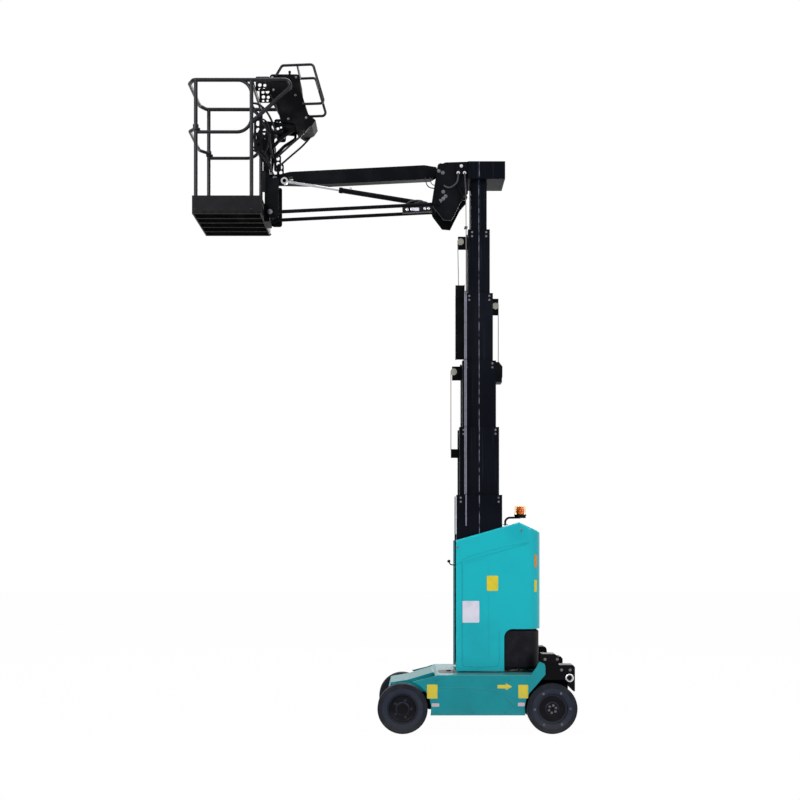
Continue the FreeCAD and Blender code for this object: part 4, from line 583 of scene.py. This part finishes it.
lever_y = -0.20
pressed_bead([(x, lever_y, z) for x, z in ((0.632, 1.372), (0.600, 1.372), (0.578, 1.380), (0.570, 1.400))],
             0.005, "lowering_lever", frame_black, "turntable")
finish_piece(turned([(0, 0.026), (0.010, 0.022), (0.014, 0.012), (0.010, 0.002), (0, 0)],
                    (0.570, lever_y, 1.392), (0, 0, 1), 24),
             "lowering_lever_ball", moulded_black, "turntable")
finish_piece(turned([(0, 0.006), (0.014, 0.006), (0.018, 0.0), (0, 0)], (0.6265, lever_y, 1.372), (-1, 0, 0),
                    24),
             "lowering_lever_boss", moulded_black, "turntable")
corner_turn, bead_side = 0.7126, 0.2808
marker_orange = new_finish("marker_orange", (0.62, 0.20, 0.02), (0.5, 0.18, 0.03), (0.3, 0.2, 0.1),
                           (0.3, 0.45), cloud=12)
for side, word in both_sides:
    outline = ((1.235, 1.562), (1.10, 1.545), (0.95, 1.510), (0.80, 1.466), (0.70, 1.432), (0.676, 1.415),
               (0.676, 1.36), (0.676, 1.0), (0.676, 0.60), (0.680, 0.545), (0.71, 0.530), (0.94, 0.530),
               (0.978, 0.545), (0.986, 0.60), (0.986, 0.84))
    pressed_bead([(x, side * bead_side, z) for x, z in outline], 0.0035, f"hood_bead_{word}", hood_gelcoat,
                 "turntable")
    for z, height, material, tint in ((1.407, 0.105, marker_orange, "orange"),
                                      (1.199, 0.10, label_yellow, "yellow")):
        mark = rounded_plate((1.2904, side * 0.2497, z), 0.030, height, 0.006, label_film, side)
        mark.rotation_euler.z = -side * corner_turn
        finish_piece(mark, f"hood_mark_{tint}_{word}", material, "turntable")

give(moulded_black, "beacon_stalk")
low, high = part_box("beacon_lens")
foot = Vector(((low.x + high.x) / 2, 0, low.z))
dome_glass = bpy.data.materials.new("dome_clear")
dome_glass.use_nodes = True
dome_nodes, dome_links = dome_glass.node_tree.nodes, dome_glass.node_tree.links
dome_shader = dome_nodes["Principled BSDF"]
dome_shader.inputs["Base Color"].default_value = (1.0, 0.88, 0.70, 1)
dome_shader.inputs["Transmission Weight"].default_value = 1.0
dome_shader.inputs["IOR"].default_value = 1.25
dome_noise, dome_gloss = dome_nodes.new("ShaderNodeTexNoise"), dome_nodes.new("ShaderNodeMapRange")
dome_noise.inputs["Scale"].default_value = 60
dome_gloss.inputs["To Min"].default_value, dome_gloss.inputs["To Max"].default_value = 0.02, 0.06
dome_links.new(dome_noise.outputs["Fac"], dome_gloss.inputs["Value"])
dome_links.new(dome_gloss.outputs[0], dome_shader.inputs["Roughness"])
dome = turned([(0.047, 0.016), (0.050, 0.020), (0.049, 0.075), (0.044, 0.092), (0.030, 0.101), (0, 0.1045),
               (0, 0.1015), (0.029, 0.098), (0.0415, 0.090), (0.0462, 0.074), (0.0468, 0.020)], foot,
              (0, 0, 1), 48, closed=True)
finish_piece(dome, "beacon_dome", dome_glass, "turntable")
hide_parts("beacon_lens")
amber = new_finish("beacon_amber", (0.60, 0.13, 0.002), (0.42, 0.08, 0.001), (0.3, 0.12, 0.05), (0.3, 0.45),
                   cloud=30, gleam=0.1)
core = turned([(0, 0.083), (0.020, 0.083), (0.032, 0.076), (0.028, 0.068), (0.036, 0.060), (0.031, 0.050),
               (0.037, 0.042), (0.032, 0.032), (0.034, 0.020), (0, 0.020)], foot, (0, 0, 1), 20)
finish_piece(core, "beacon_core", amber, "turntable")
base = turned([(0, 0.018), (0.044, 0.018), (0.051, 0.015), (0.052, 0.004), (0.048, 0.0005), (0, 0.0005)],
              foot, (0, 0, 1), 48)
finish_piece(base, "beacon_foot", moulded_black, "turntable")

# --- Mast --------------------------------------------------------------------------------------------------
# Six C-shaped steel sections slide in each other on nylon pads. Their satin black paint is rubbed in upright
# streaks where the pads and the ropes run, and pairs of bolts near each top hold the pads.


def make_rub_marks():
    """Long upright scratches, and a broken bright line down the middle where the side pads slide."""
    group, given, result = new_group("rub_marks", (("Middle", 0.826), ("Half width", 0.003)),
                                     (("Scratches", "Float"), ("Track", "Float")))
    add, link = group.nodes.new, group.links.new
    place, longer, scratch, cut = (add("ShaderNodeTexCoord"), add("ShaderNodeMapping"),
                                   add("ShaderNodeTexNoise"), add("ShaderNodeMapRange"))
    longer.inputs["Scale"].default_value = (90, 90, 1.6)
    scratch.inputs["Scale"].default_value, scratch.inputs["Detail"].default_value = 1.0, 4
    cut.inputs["From Min"].default_value, cut.inputs["From Max"].default_value = 0.60, 0.78
    link(place.outputs["Object"], longer.inputs["Vector"])
    link(longer.outputs[0], scratch.inputs["Vector"])
    link(scratch.outputs["Fac"], cut.inputs["Value"])
    link(cut.outputs[0], result.inputs["Scratches"])
    split, away, size, near, dash, broken, both = (add("ShaderNodeSeparateXYZ"), add("ShaderNodeMath"),
                                                   add("ShaderNodeMath"), add("ShaderNodeMath"),
                                                   add("ShaderNodeTexNoise"), add("ShaderNodeMapRange"),
                                                   add("ShaderNodeMath"))
    link(place.outputs["Object"], split.inputs[0])
    away.operation, size.operation = "SUBTRACT", "ABSOLUTE"
    near.operation, both.operation = "LESS_THAN", "MULTIPLY"
    link(split.outputs["X"], away.inputs[0])
    link(given.outputs["Middle"], away.inputs[1])
    link(away.outputs[0], size.inputs[0])
    link(size.outputs[0], near.inputs[0])
    link(given.outputs["Half width"], near.inputs[1])
    dash.inputs["Scale"].default_value = 16
    broken.inputs["From Min"].default_value, broken.inputs["From Max"].default_value = 0.36, 0.56
    link(place.outputs["Object"], dash.inputs["Vector"])
    link(dash.outputs["Fac"], broken.inputs["Value"])
    link(near.outputs[0], both.inputs[0])
    link(broken.outputs[0], both.inputs[1])
    link(both.outputs[0], result.inputs["Track"])
    return group


mast_paint = new_finish("mast_paint", (0.0040, 0.0048, 0.0074), (0.0080, 0.0092, 0.013), (0.03, 0.03, 0.035),
                        (0.34, 0.5), cloud=1.6, grain=260, bump=0.08, dust_height=0.1, gleam=0.01)
mast_nodes, mast_links = mast_paint.node_tree.nodes, mast_paint.node_tree.links
mast_shader, rubbed = mast_nodes["Principled BSDF"], mast_nodes.new("ShaderNodeGroup")
rubbed.node_tree = make_rub_marks()
painted = mast_shader.inputs["Base Color"].links[0].from_socket
for mark, colour in (("Scratches", (0.018, 0.019, 0.030, 1)), ("Track", (0.15, 0.15, 0.19, 1))):
    over = mast_nodes.new("ShaderNodeMix")
    over.data_type = "RGBA"
    over.inputs["B"].default_value = colour
    mast_links.new(rubbed.outputs[mark], over.inputs["Factor"])
    mast_links.new(painted, over.inputs["A"])
    painted = over.outputs["Result"]
mast_links.new(painted, mast_shader.inputs["Base Color"])
give(mast_paint, *[f"mast_stage_{number}" for number in range(1, 7)])
give(frame_black, "stage_2_anchor", "stage_3_front_bracket", "stage_3_rear_bracket", "stage_4_trough",
     "stage_4_rear_bracket", "stage_5_front_bracket")
sheave_nylon = new_finish("sheave_nylon", (0.40, 0.38, 0.33), (0.26, 0.25, 0.22), (0.2, 0.19, 0.17),
                          (0.4, 0.55), cloud=25, grain=400, bump=0.1)
give(sheave_nylon, "stage_3_sheave", "stage_4_sheave", "stage_5_sheave")

mast_bodies = ("turntable", "mast_2", "mast_3", "mast_4", "mast_5", "mast_6")
section_half = [0.2 - 0.016 * number for number in range(5)]
for number in range(5):
    top, step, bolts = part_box(f"mast_stage_{number + 1}")[1].z, 0.0248 * number, []
    for side in (-1, 1):
        for x in (0.635 + step + 0.034, 1.017 - step - 0.030):
            for drop in (0.024, 0.058):
                bolts.append(screw((x, side * section_half[number], top - drop), (0, side, 0), 0.0065, 0.0028,
                                   corners=12, washer=1.4))
    finish_piece(joined(bolts), f"mast_bolts_{number + 1}", zinc, mast_bodies[number])
edge = rounded_plate((0.6315, -0.196, 1.79), 0.012, 0.32, 0.002, 0.0012, -1)
finish_piece(edge, "mast_edge_strip", label_white, "turntable")

# --- Lift ropes and mast cable -----------------------------------------------------------------------------
# Thin wire ropes run taut from each sheave to the section below, and a pale sleeved cable climbs the left
# side from clip to clip. Each run is made straight and fixed where it stands.

rope_wire = new_finish("rope_wire", (0.16, 0.16, 0.17), (0.07, 0.07, 0.075), (0.05, 0.05, 0.05), (0.35, 0.55),
                       cloud=90, grain=900, bump=0.5, metallic=0.6)
cable_sleeve = new_finish("cable_sleeve", (0.17, 0.17, 0.24), (0.10, 0.10, 0.14), (0.08, 0.08, 0.08),
                          (0.45, 0.65), cloud=40, grain=700, bump=0.4)


def taut_run(low, high, radius, name, low_body, high_body, material, slot):
    """A straight, fixed run of rope or cable between two sliding sections; it does not follow them."""
    stretch = Vector(high) - Vector(low)
    wall = [(radius, stretch.length * step / 24) for step in range(25)]
    run = turned([(0, 0), *wall, (0, stretch.length)], low, stretch, 12)
    finish_piece(run, name, material, None)
    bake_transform(run)
    return run


front_5, rear_4, front_3 = middle_of("stage_5_sheave"), middle_of("stage_4_sheave"), middle_of("stage_3_sheave")
trough, shelf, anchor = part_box("stage_4_trough"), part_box("stage_3_rear_bracket"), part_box("stage_2_anchor")
trough_y, rope_radius, groove = middle_of("stage_4_trough").y, 0.0032, Vector((0.024, 0, 0))
for name, low_end, high_end, low_body, high_body in (
        ("rope_5", (front_5.x - 0.022, trough_y, trough[1].z - 0.012), front_5 - groove, "mast_4", "mast_5"),
        ("rope_4", (rear_4.x + 0.024, rear_4.y, shelf[1].z - 0.012), rear_4 + groove, "mast_3", "mast_4"),
        ("rope_3", (front_3.x - 0.024, front_3.y, anchor[1].z - 0.008), front_3 - groove, "mast_2", "mast_3")):
    taut_run(Vector(low_end), high_end, rope_radius, name, low_body, high_body, rope_wire, "bearing_steel")

cable_x, cable_y, cable_radius, core_radius, hose_gap = 0.714, -0.209, 0.0062, 0.0034, 0.011
stage_tops = (1.96, 2.53, 3.09, 3.66, 4.20)
for number, half in enumerate(section_half):
    clip = rounded_plate((cable_x, -(half - 0.007 + 0.215) / 2, stage_tops[number] + 0.0012), 0.026,
                         0.222 - half, 0.004, 0.004, "top")
    finish_piece(clip, f"cable_clip_{number + 1}", frame_black, mast_bodies[number])
for number in range(4):
    low_z, high_z, last = stage_tops[number] + 0.005, stage_tops[number + 1] + 0.001, number == 3
    held_by = mast_bodies[number:number + 2]
    taut_run((cable_x, cable_y, low_z), (cable_x, cable_y, high_z), core_radius if last else cable_radius,
             f"mast_cable_{number + 1}", *held_by, rope_wire if last else cable_sleeve, "black_plastic")
    if not last:
        taut_run((cable_x - hose_gap, cable_y, low_z), (cable_x - hose_gap, cable_y, high_z), 0.0045,
                 f"mast_hose_{number + 1}", *held_by, rope_wire, "black_plastic")
pressed_bead([(cable_x, cable_y, z) for z in (1.70, 1.78, 1.88, 1.961)], cable_radius, "mast_cable_foot",
             cable_sleeve, "turntable")
taut_run((cable_x, cable_y, 4.205), (cable_x - 0.002, cable_y, 4.44), core_radius, "mast_cable_5", "mast_5",
         "mast_6", rope_wire, "black_plastic")

# --- Mast head ---------------------------------------------------------------------------------------------
# A welded box with two cheek plates carries the jib. Two hoses leave a clamp plate on the left cheek, and a
# round clamp below it holds one of them and the mast cable clear of the mast.

give(mast_paint, "mast_head")
give(frame_black, "head_cheeks")
hose_rubber = new_finish("hose_rubber", (0.02, 0.02, 0.03), (0.035, 0.035, 0.045), (0.05, 0.05, 0.05),
                         (0.35, 0.5), cloud=30, grain=700, bump=0.2, gleam=0.3)
cheek = -0.165
clamp = rounded_plate((0.680, cheek, 4.700), 0.100, 0.104, 0.010, 0.010, -1)
finish_piece(clamp, "head_clamp_plate", frame_black, "mast_6")
fitting_points = ((0.676, 4.722), (0.650, 4.664), (0.703, 4.664))
fittings = [screw((x, cheek - 0.010, z), (0, -1, 0), 0.008, 0.008) for x, z in fitting_points]
finish_piece(joined(fittings), "head_clamp_fittings", bright_nickel, "mast_6")
pin_nuts, link_nut = ((0.487, 4.684), (0.520, 4.668)), (0.524, 4.450)
left_nuts = (*pin_nuts, (0.524, 4.508), link_nut, (0.500, 4.432), (0.545, 4.470))
for side, word, places in ((-1, "left", left_nuts), (1, "right", (*pin_nuts, link_nut))):
    nuts = [screw((x, -side * cheek, z), (0, side, 0), 0.009, 0.007) for x, z in places]
    finish_piece(joined(nuts), f"cheek_nuts_{word}", zinc, "mast_6")
pressed_bead([(0.650, -0.181, 4.662), (0.650, -0.190, 4.610), (0.630, -0.190, 4.565), (0.585, -0.185, 4.535),
              (0.545, -0.178, 4.542), (0.530, -0.168, 4.560)], 0.0075, "head_hose_left", hose_rubber,
             "mast_6")
pressed_bead([(0.703, -0.181, 4.662), (0.706, -0.196, 4.600), (0.712, -0.207, 4.520), (0.712, -0.208, 4.440)],
             0.0065, "head_hose_down", hose_rubber, "mast_6")
round_clamp = turned([(0.007, -0.012), (0.022, -0.012), (0.025, -0.008), (0.025, 0.008), (0.022, 0.012),
                      (0.007, 0.012)],
                     (0.700, -0.192, 4.452), (0, 1, 0), 32, closed=True)
finish_piece(round_clamp, "head_round_clamp", moulded_black, "mast_6")
pressed_bead([(0.690, -0.190, 4.47), (0.660, -0.178, 4.52), (0.640, -0.172, 4.56), (0.635, -0.168, 4.60)],
             0.006, "head_clamp_stay", frame_black, "mast_6")
for side, word in both_sides:
    caps = [turned([(0, 0.010), (0.020, 0.010), (0.026, 0.007), (0.028, 0.0), (0, 0.0)],
                   (x, -side * cheek, z), (0, side, 0), 32)
            for x, z in ((0.503, 4.720), (0.473, 4.415))]
    finish_piece(joined(caps), f"head_pin_caps_{word}", frame_black, "mast_6")

# --- Jib and its cylinder ----------------------------------------------------------------------------------
# The jib is a folded box beam with two round bars below it. The valve block and its hoses ride on the bars,
# and the lift cylinder's chromed rod works beside the beam.

give(frame_black, "jib_beam", "jib_link_left", "jib_link_right", "jib_cylinder_barrel")
give(cast_black, "valve_block")
chrome = new_finish("rod_chrome", (0.48, 0.48, 0.51), (0.36, 0.36, 0.39), (0.4, 0.4, 0.4), (0.06, 0.14),
                    cloud=20, grain=900, bump=0.02, metallic=1.0, gleam=0.5)
give(chrome, "jib_cylinder_rod")
low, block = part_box("valve_block")[0], middle_of("valve_block")
slope = Vector((-1, 0, -math.tan(math.radians(2.85)))).normalized()
label = rounded_plate((block.x - 0.02, low.y, block.z), 0.070, 0.026, 0.003, label_film, -1)
finish_piece(label, "valve_label", label_white, "jib_links")
plugs = [turned([(0, 0.022), (0.006, 0.022), (0.008, 0.018), (0.008, 0.011), (0.012, 0.010), (0.012, 0.0),
                 (0, 0.0)],
                block + slope * along + Vector((0, low.y - block.y, 0)), (0, -1, 0), 6 if along < 0 else 24)
         for along in (-0.095, -0.065, 0.045, 0.085)]
finish_piece(joined(plugs), "valve_plugs", bright_nickel, "jib_links")
for name, near, far, rise in (("a", -0.07, 0.10, 0.060), ("b", -0.10, 0.04, 0.045)):
    start, end = block + slope * near, block + slope * far
    pressed_bead([start + Vector((0, 0, 0.020)), start + Vector((0, -0.004, 0.020 + rise * 0.8)),
                  (start + end) / 2 + Vector((0, -0.004, 0.025 + rise)),
                  end + Vector((0, -0.004, 0.020 + rise * 0.7)), end + Vector((0, 0, 0.018))], 0.0055,
                 f"valve_hose_{name}", hose_rubber, "jib_links")

cable_black = new_finish("cable_black", (0.012, 0.012, 0.014), (0.02, 0.02, 0.022), (0.04, 0.04, 0.04),
                         (0.4, 0.6), cloud=30, gleam=0.2)
for name, thick, route in (
        ("long", 0.0045, ((0.375, -0.062, 4.655), (0.380, -0.090, 4.600), (0.405, -0.112, 4.560),
                          (0.440, -0.125, 4.548), (0.480, -0.140, 4.545), (0.505, -0.152, 4.550))),
        ("short", 0.0035, ((0.415, -0.060, 4.660), (0.420, -0.085, 4.610), (0.440, -0.105, 4.580),
                           (0.470, -0.128, 4.575), (0.500, -0.150, 4.585)))):
    cable = pressed_bead(route, thick, f"jib_cable_{name}", cable_black, None)
    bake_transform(cable)

barrel_low, barrel_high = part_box("jib_cylinder_barrel")
along_rod = Vector((-0.9871, 0, 0.1601))
mouth = Vector((barrel_low.x + 0.004, -0.072, barrel_high.z - 0.0215))
gland = turned([(0.0115, -0.030), (0.0235, -0.030), (0.0245, -0.026), (0.0245, -0.006), (0.022, 0.0),
                (0.0115, 0.0)],
               mouth, along_rod, 40, closed=True)
finish_piece(gland, "cylinder_gland", frame_black, "cylinder_barrel")
port = mouth - along_rod * 0.10
finish_piece(turned([(0, 0.038), (0.007, 0.038), (0.007, 0.030), (0.010, 0.029), (0.010, 0.018), (0, 0.018)],
                    port, (0, 0, 1), 6),
             "cylinder_port", bright_nickel, "cylinder_barrel")

# --- Platform ----------------------------------------------------------------------------------------------
# The basket is welded tube round a studded floor with a toe board. Pierced gussets, two bracket plates with
# an opening and curved struts hold the rails and console to the carrier, and side plates shield its links.

rail_black = new_finish("rail_black", (0.0035, 0.004, 0.0065), (0.009, 0.010, 0.014), (0.03, 0.03, 0.032),
                        (0.22, 0.4), cloud=9, grain=500, bump=0.08, dust_height=0.1, gleam=0.2)
give(rail_black, "guard_rails", "entry_bar", "console_guard")
give(frame_black, "platform_carrier", "rail_brackets")
toe_black = new_finish("toe_black", (0.0035, 0.0036, 0.0045), (0.009, 0.009, 0.0105), (0.03, 0.03, 0.03),
                       (0.35, 0.55), cloud=8, grain=400, bump=0.15, dust_height=0.1, gleam=0.08)
give(toe_black, "toe_board")
floor_black = new_finish("floor_black", (0.0035, 0.0035, 0.004), (0.012, 0.0115, 0.011), (0.04, 0.04, 0.04),
                         (0.4, 0.6), cloud=7, grain=300, bump=0.2, dust_height=0.1, gleam=0.08)
floor_nodes, floor_links = floor_black.node_tree.nodes, floor_black.node_tree.links
studs_group, studs_given, studs_result = new_group("tread_studs", (("Pitch", 26),), (("Normal", "Vector"),))
studs_nodes, studs_links = studs_group.nodes, studs_group.links
studs_place, studs_cells = studs_nodes.new("ShaderNodeTexCoord"), studs_nodes.new("ShaderNodeTexVoronoi")
studs_rise, studs_bump = studs_nodes.new("ShaderNodeMapRange"), studs_nodes.new("ShaderNodeBump")
studs_cells.inputs["Randomness"].default_value = 0.0
studs_rise.inputs["From Min"].default_value, studs_rise.inputs["From Max"].default_value = 0.34, 0.22
studs_bump.inputs["Distance"].default_value = 0.004
studs_links.new(studs_place.outputs["Object"], studs_cells.inputs["Vector"])
studs_links.new(studs_given.outputs["Pitch"], studs_cells.inputs["Scale"])
studs_links.new(studs_cells.outputs["Distance"], studs_rise.inputs["Value"])
studs_links.new(studs_rise.outputs[0], studs_bump.inputs["Height"])
studs_links.new(studs_bump.outputs[0], studs_result.inputs["Normal"])
studded = floor_nodes.new("ShaderNodeGroup")
studded.node_tree = studs_group
floor_links.new(studded.outputs["Normal"], floor_nodes["Principled BSDF"].inputs["Normal"])
give(floor_black, "platform_floor")


def cut_away(piece, cutter):
    """Cuts one solid out of a piece and removes the cutter."""
    select_only(piece)
    cut = piece.modifiers.new("hole", "BOOLEAN")
    cut.operation, cut.object, cut.solver = "DIFFERENCE", cutter, "EXACT"
    bpy.ops.object.modifier_apply(modifier="hole")
    bpy.data.objects.remove(cutter)


def pierced_plate(middle, width, height, corner, thick, side, holes):
    """An upright rounded plate cut through by round holes, or by long ones where a hole has a height."""
    plate = rounded_plate(middle, width, height, corner, thick, side)
    for x, z, radius, tall in holes:
        for lift in ((0,) if not tall else (-tall / 2, 0, tall / 2)):
            place = (x, middle[1] + side * thick / 2, z + lift)
            bpy.ops.mesh.primitive_cylinder_add(vertices=20, radius=radius, depth=thick * 8, location=place,
                                                rotation=(math.pi / 2, 0, 0))
            cut_away(plate, bpy.context.object)
    return plate


opening = ((-0.922, 5.082), (-0.752, 5.068), (-0.752, 5.050), (-0.845, 4.990), (-0.922, 4.912))
window = from_points([(x, -0.2, z) for x, z in opening], [], [tuple(range(len(opening)))])
edit_all()
bpy.ops.mesh.bevel(offset=0.007, segments=3, affect="VERTICES")
bpy.ops.mesh.extrude_region_move(TRANSFORM_OT_translate={"value": (0, 0.4, 0)})
face_outwards()
brackets = bpy.data.objects.new("brackets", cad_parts["rail_brackets"].data.copy())
scene.collection.objects.link(brackets)
select_only(brackets)
edit_all()
bpy.ops.mesh.remove_doubles(threshold=merge_gap)
bpy.ops.object.mode_set(mode="OBJECT")
cut_away(brackets, window)
finish_piece(brackets, "rail_bracket_plates", frame_black, "platform")
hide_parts("rail_brackets")

console_side = 0.140
for side, word in both_sides:
    rail, box_side = side * 0.346, side * console_side
    plates = (("post_gusset", (-1.012, rail - side * 0.003, 4.934), 0.066, 0.29, 0.012, 0.006, side,
               ((-1.010, 5.020, 0.016, 0.012), (-1.010, 4.962, 0.016, 0.012), (-1.010, 4.904, 0.016, 0.012),
                (-1.008, 4.846, 0.014, 0.010))),
              ("console_side_plate", (-0.996, box_side, 5.425), 0.118, 0.122, 0.010, 0.005, -side,
               ((-1.024, 5.455, 0.013, 0), (-0.985, 5.460, 0.016, 0), (-1.020, 5.415, 0.015, 0),
                (-0.978, 5.412, 0.013, 0), (-1.022, 5.380, 0.010, 0), (-0.985, 5.382, 0.010, 0))),
              ("console_hanger", (-0.862, box_side - side * 0.008, 5.075), 0.075, 0.11, 0.020, 0.006, -side,
               ((-0.875, 5.095, 0.013, 0), (-0.845, 5.100, 0.011, 0), (-0.868, 5.050, 0.012, 0),
                (-0.842, 5.060, 0.009, 0))),
              ("carrier_gusset", (-0.872, side * 0.118, 4.760), 0.060, 0.14, 0.018, 0.006, side,
               ((-0.868, 4.800, 0.013, 0.008), (-0.868, 4.755, 0.013, 0.008), (-0.870, 4.715, 0.009, 0))))
    for name, *shape in plates:
        finish_piece(pierced_plate(*shape), f"{name}_{word}", frame_black, "platform")
    struts = (((-1.06, 5.19), (-1.03, 5.21), (-0.975, 5.19), (-0.915, 5.11), (-0.885, 5.02)),
              ((-1.06, 5.17), (-1.01, 5.10), (-0.955, 5.02), (-0.925, 4.93), (-0.93, 4.86), (-0.905, 4.80)),
              ((-0.985, 5.06), (-0.95, 5.07), (-0.925, 5.00), (-0.930, 4.93), (-0.955, 4.87), (-0.975, 4.83)),
              ((-1.05, 4.825), (-1.00, 4.83), (-0.955, 4.80), (-0.935, 4.76), (-0.925, 4.70)),
              ((-1.05, 4.80), (-1.00, 4.79), (-0.96, 4.755), (-0.935, 4.73), (-0.925, 4.68)))
    for number, route in enumerate(struts):
        reach = len(route) - 1
        line = [(x, side * (0.338 - 0.205 * step / reach), z) for step, (x, z) in enumerate(route)]
        pressed_bead(line, 0.009 if number < 2 else 0.007, f"rail_strut_{number}_{word}", rail_black,
                     "platform")
    pressed_bead([(-0.580, side * 0.125, 5.105), (-0.65, side * 0.125, 5.010), (-0.78, side * 0.122, 4.900),
                  (-0.880, side * 0.116, 4.810)], 0.0085, f"console_brace_{word}", rail_black, "platform")
    shield = rounded_plate((-0.904, side * 0.1475, 4.462), 0.090, 0.34, 0.020, 0.003, side)
    finish_piece(shield, f"carrier_shield_{word}", frame_black, "platform")
    guide = rounded_plate((-0.988, side * 0.1101, 4.610), 0.030, 0.180, 0.004, 0.005, side)
    finish_piece(guide, f"carrier_guide_{word}", toe_black, "platform")
    # The floor's side slots are not cut: thin black plates stand in for them, and their dark colour is painted
    # shade of the openings.
    slot_shade_plates = [rounded_plate((-1.52 + 0.066 * number, side * 0.3683, 4.284), 0.034, 0.012, 0.0055, 0.0012, side)
             for number in range(9)]
    finish_piece(joined(slot_shade_plates), f"floor_slot_painted_shade_{word}", moulded_black, "platform")
    feet = [turned([(0.0165, 0.012), (0.024, 0.010), (0.026, 0.0), (0.0165, 0.0)], (x, rail, 4.3035),
                   (0, 0, 1), 24, closed=True) for x in (-1.525, -1.065)]
    finish_piece(joined(feet), f"rail_feet_{word}", rail_black, "platform")
    hooks = turned([(0, 0.018), (0.006, 0.018), (0.008, 0.014), (0.006, 0.004), (0.010, 0.0), (0, 0.0)],
                   (-1.495, rail, 4.965), (0, 0, 1), 16)
    finish_piece(hooks, f"rail_peg_{word}", rail_black, "platform")
    for level, x, z, step in (("upper", -0.9043, 4.6499, 0.066), ("lower", -0.9343, 4.3449, 0.147)):
        cap = turned([(0, 0.006), (0.017, 0.006), (0.022, 0.003), (0.022, 0.0), (0, 0.0)],
                     (x, side * step, z), (0, side, 0), 24)
        finish_piece(cap, f"carrier_pin_cap_{level}_{word}", zinc, "platform")

# --- Console -----------------------------------------------------------------------------------------------
# The control box is folded sheet in textured black. On its level top sit a joystick in a bellows, a red stop
# and two rows of buttons, and a seam and screws mark each side.

console_shell = new_finish("console_shell", (0.0045, 0.0045, 0.005), (0.011, 0.011, 0.012),
                           (0.03, 0.03, 0.03), (0.38, 0.55), cloud=8, grain=650, bump=0.35, dust_height=0.1,
                           gleam=0.01)
give(console_shell, "console_box")
deck_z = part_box("console_box")[1].z
panel_z, stick_x, stick_y = deck_z + 0.002, -0.775, -0.065
panel = rounded_plate((-0.812, 0, deck_z), 0.215, 0.24, 0.012, 0.002, "top")
finish_piece(panel, "console_panel", toe_black, "platform")
stop_red = new_finish("stop_red", (0.55, 0.012, 0.01), (0.42, 0.02, 0.015), (0.3, 0.1, 0.08), (0.2, 0.35),
                      cloud=40, coat=0.3)
controls = (("joystick_bellows", (stick_x, stick_y, panel_z), 32, moulded_black,
             ((0, 0.026), (0.012, 0.026), (0.015, 0.023), (0.013, 0.020), (0.020, 0.016), (0.017, 0.012),
              (0.025, 0.007), (0.027, 0.0), (0, 0.0))),
            ("joystick_grip", (stick_x, stick_y, deck_z + 0.028), 24, moulded_black,
             ((0, 0.030), (0.009, 0.028), (0.012, 0.020), (0.010, 0.010), (0.007, 0.0), (0, 0.0))),
            ("stop_button", (stick_x, 0.075, panel_z), 32, stop_red,
             ((0, 0.024), (0.016, 0.022), (0.020, 0.017), (0.019, 0.012), (0.010, 0.009), (0.010, 0.0),
              (0, 0.0))))
for name, place, sides, material, profile in controls:
    finish_piece(turned(profile, place, (0, 0, 1), sides), name, material, "platform")
keys = [turned([(0, 0.008), (0.007, 0.008), (0.009, 0.006), (0.010, 0.0), (0, 0.0)], (x, y, panel_z),
               (0, 0, 1), 20)
        for x in (-0.850, -0.880) for y in (-0.08, -0.04, 0.0, 0.04, 0.08)]
finish_piece(joined(keys), "console_keys", battery_grey, "platform")
for side, word in both_sides:
    bolts = [screw((x, side * console_side, z), (0, side, 0), 0.006, 0.004, corners=12)
             for x, z in ((-0.915, 5.480), (-0.715, 5.480), (-0.905, 5.375), (-0.720, 5.33), (-0.63, 5.14),
                          (-0.78, 5.13))]
    finish_piece(joined(bolts), f"console_screws_{word}", zinc, "platform")
    seam = [(x, side * console_side, z) for x, z in ((-0.900, 5.350), (-0.80, 5.342), (-0.70, 5.335))]
    pressed_bead(seam, 0.0025, f"console_seam_{word}", console_shell, "platform")

bpy.context.view_layer.update()
low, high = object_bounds()
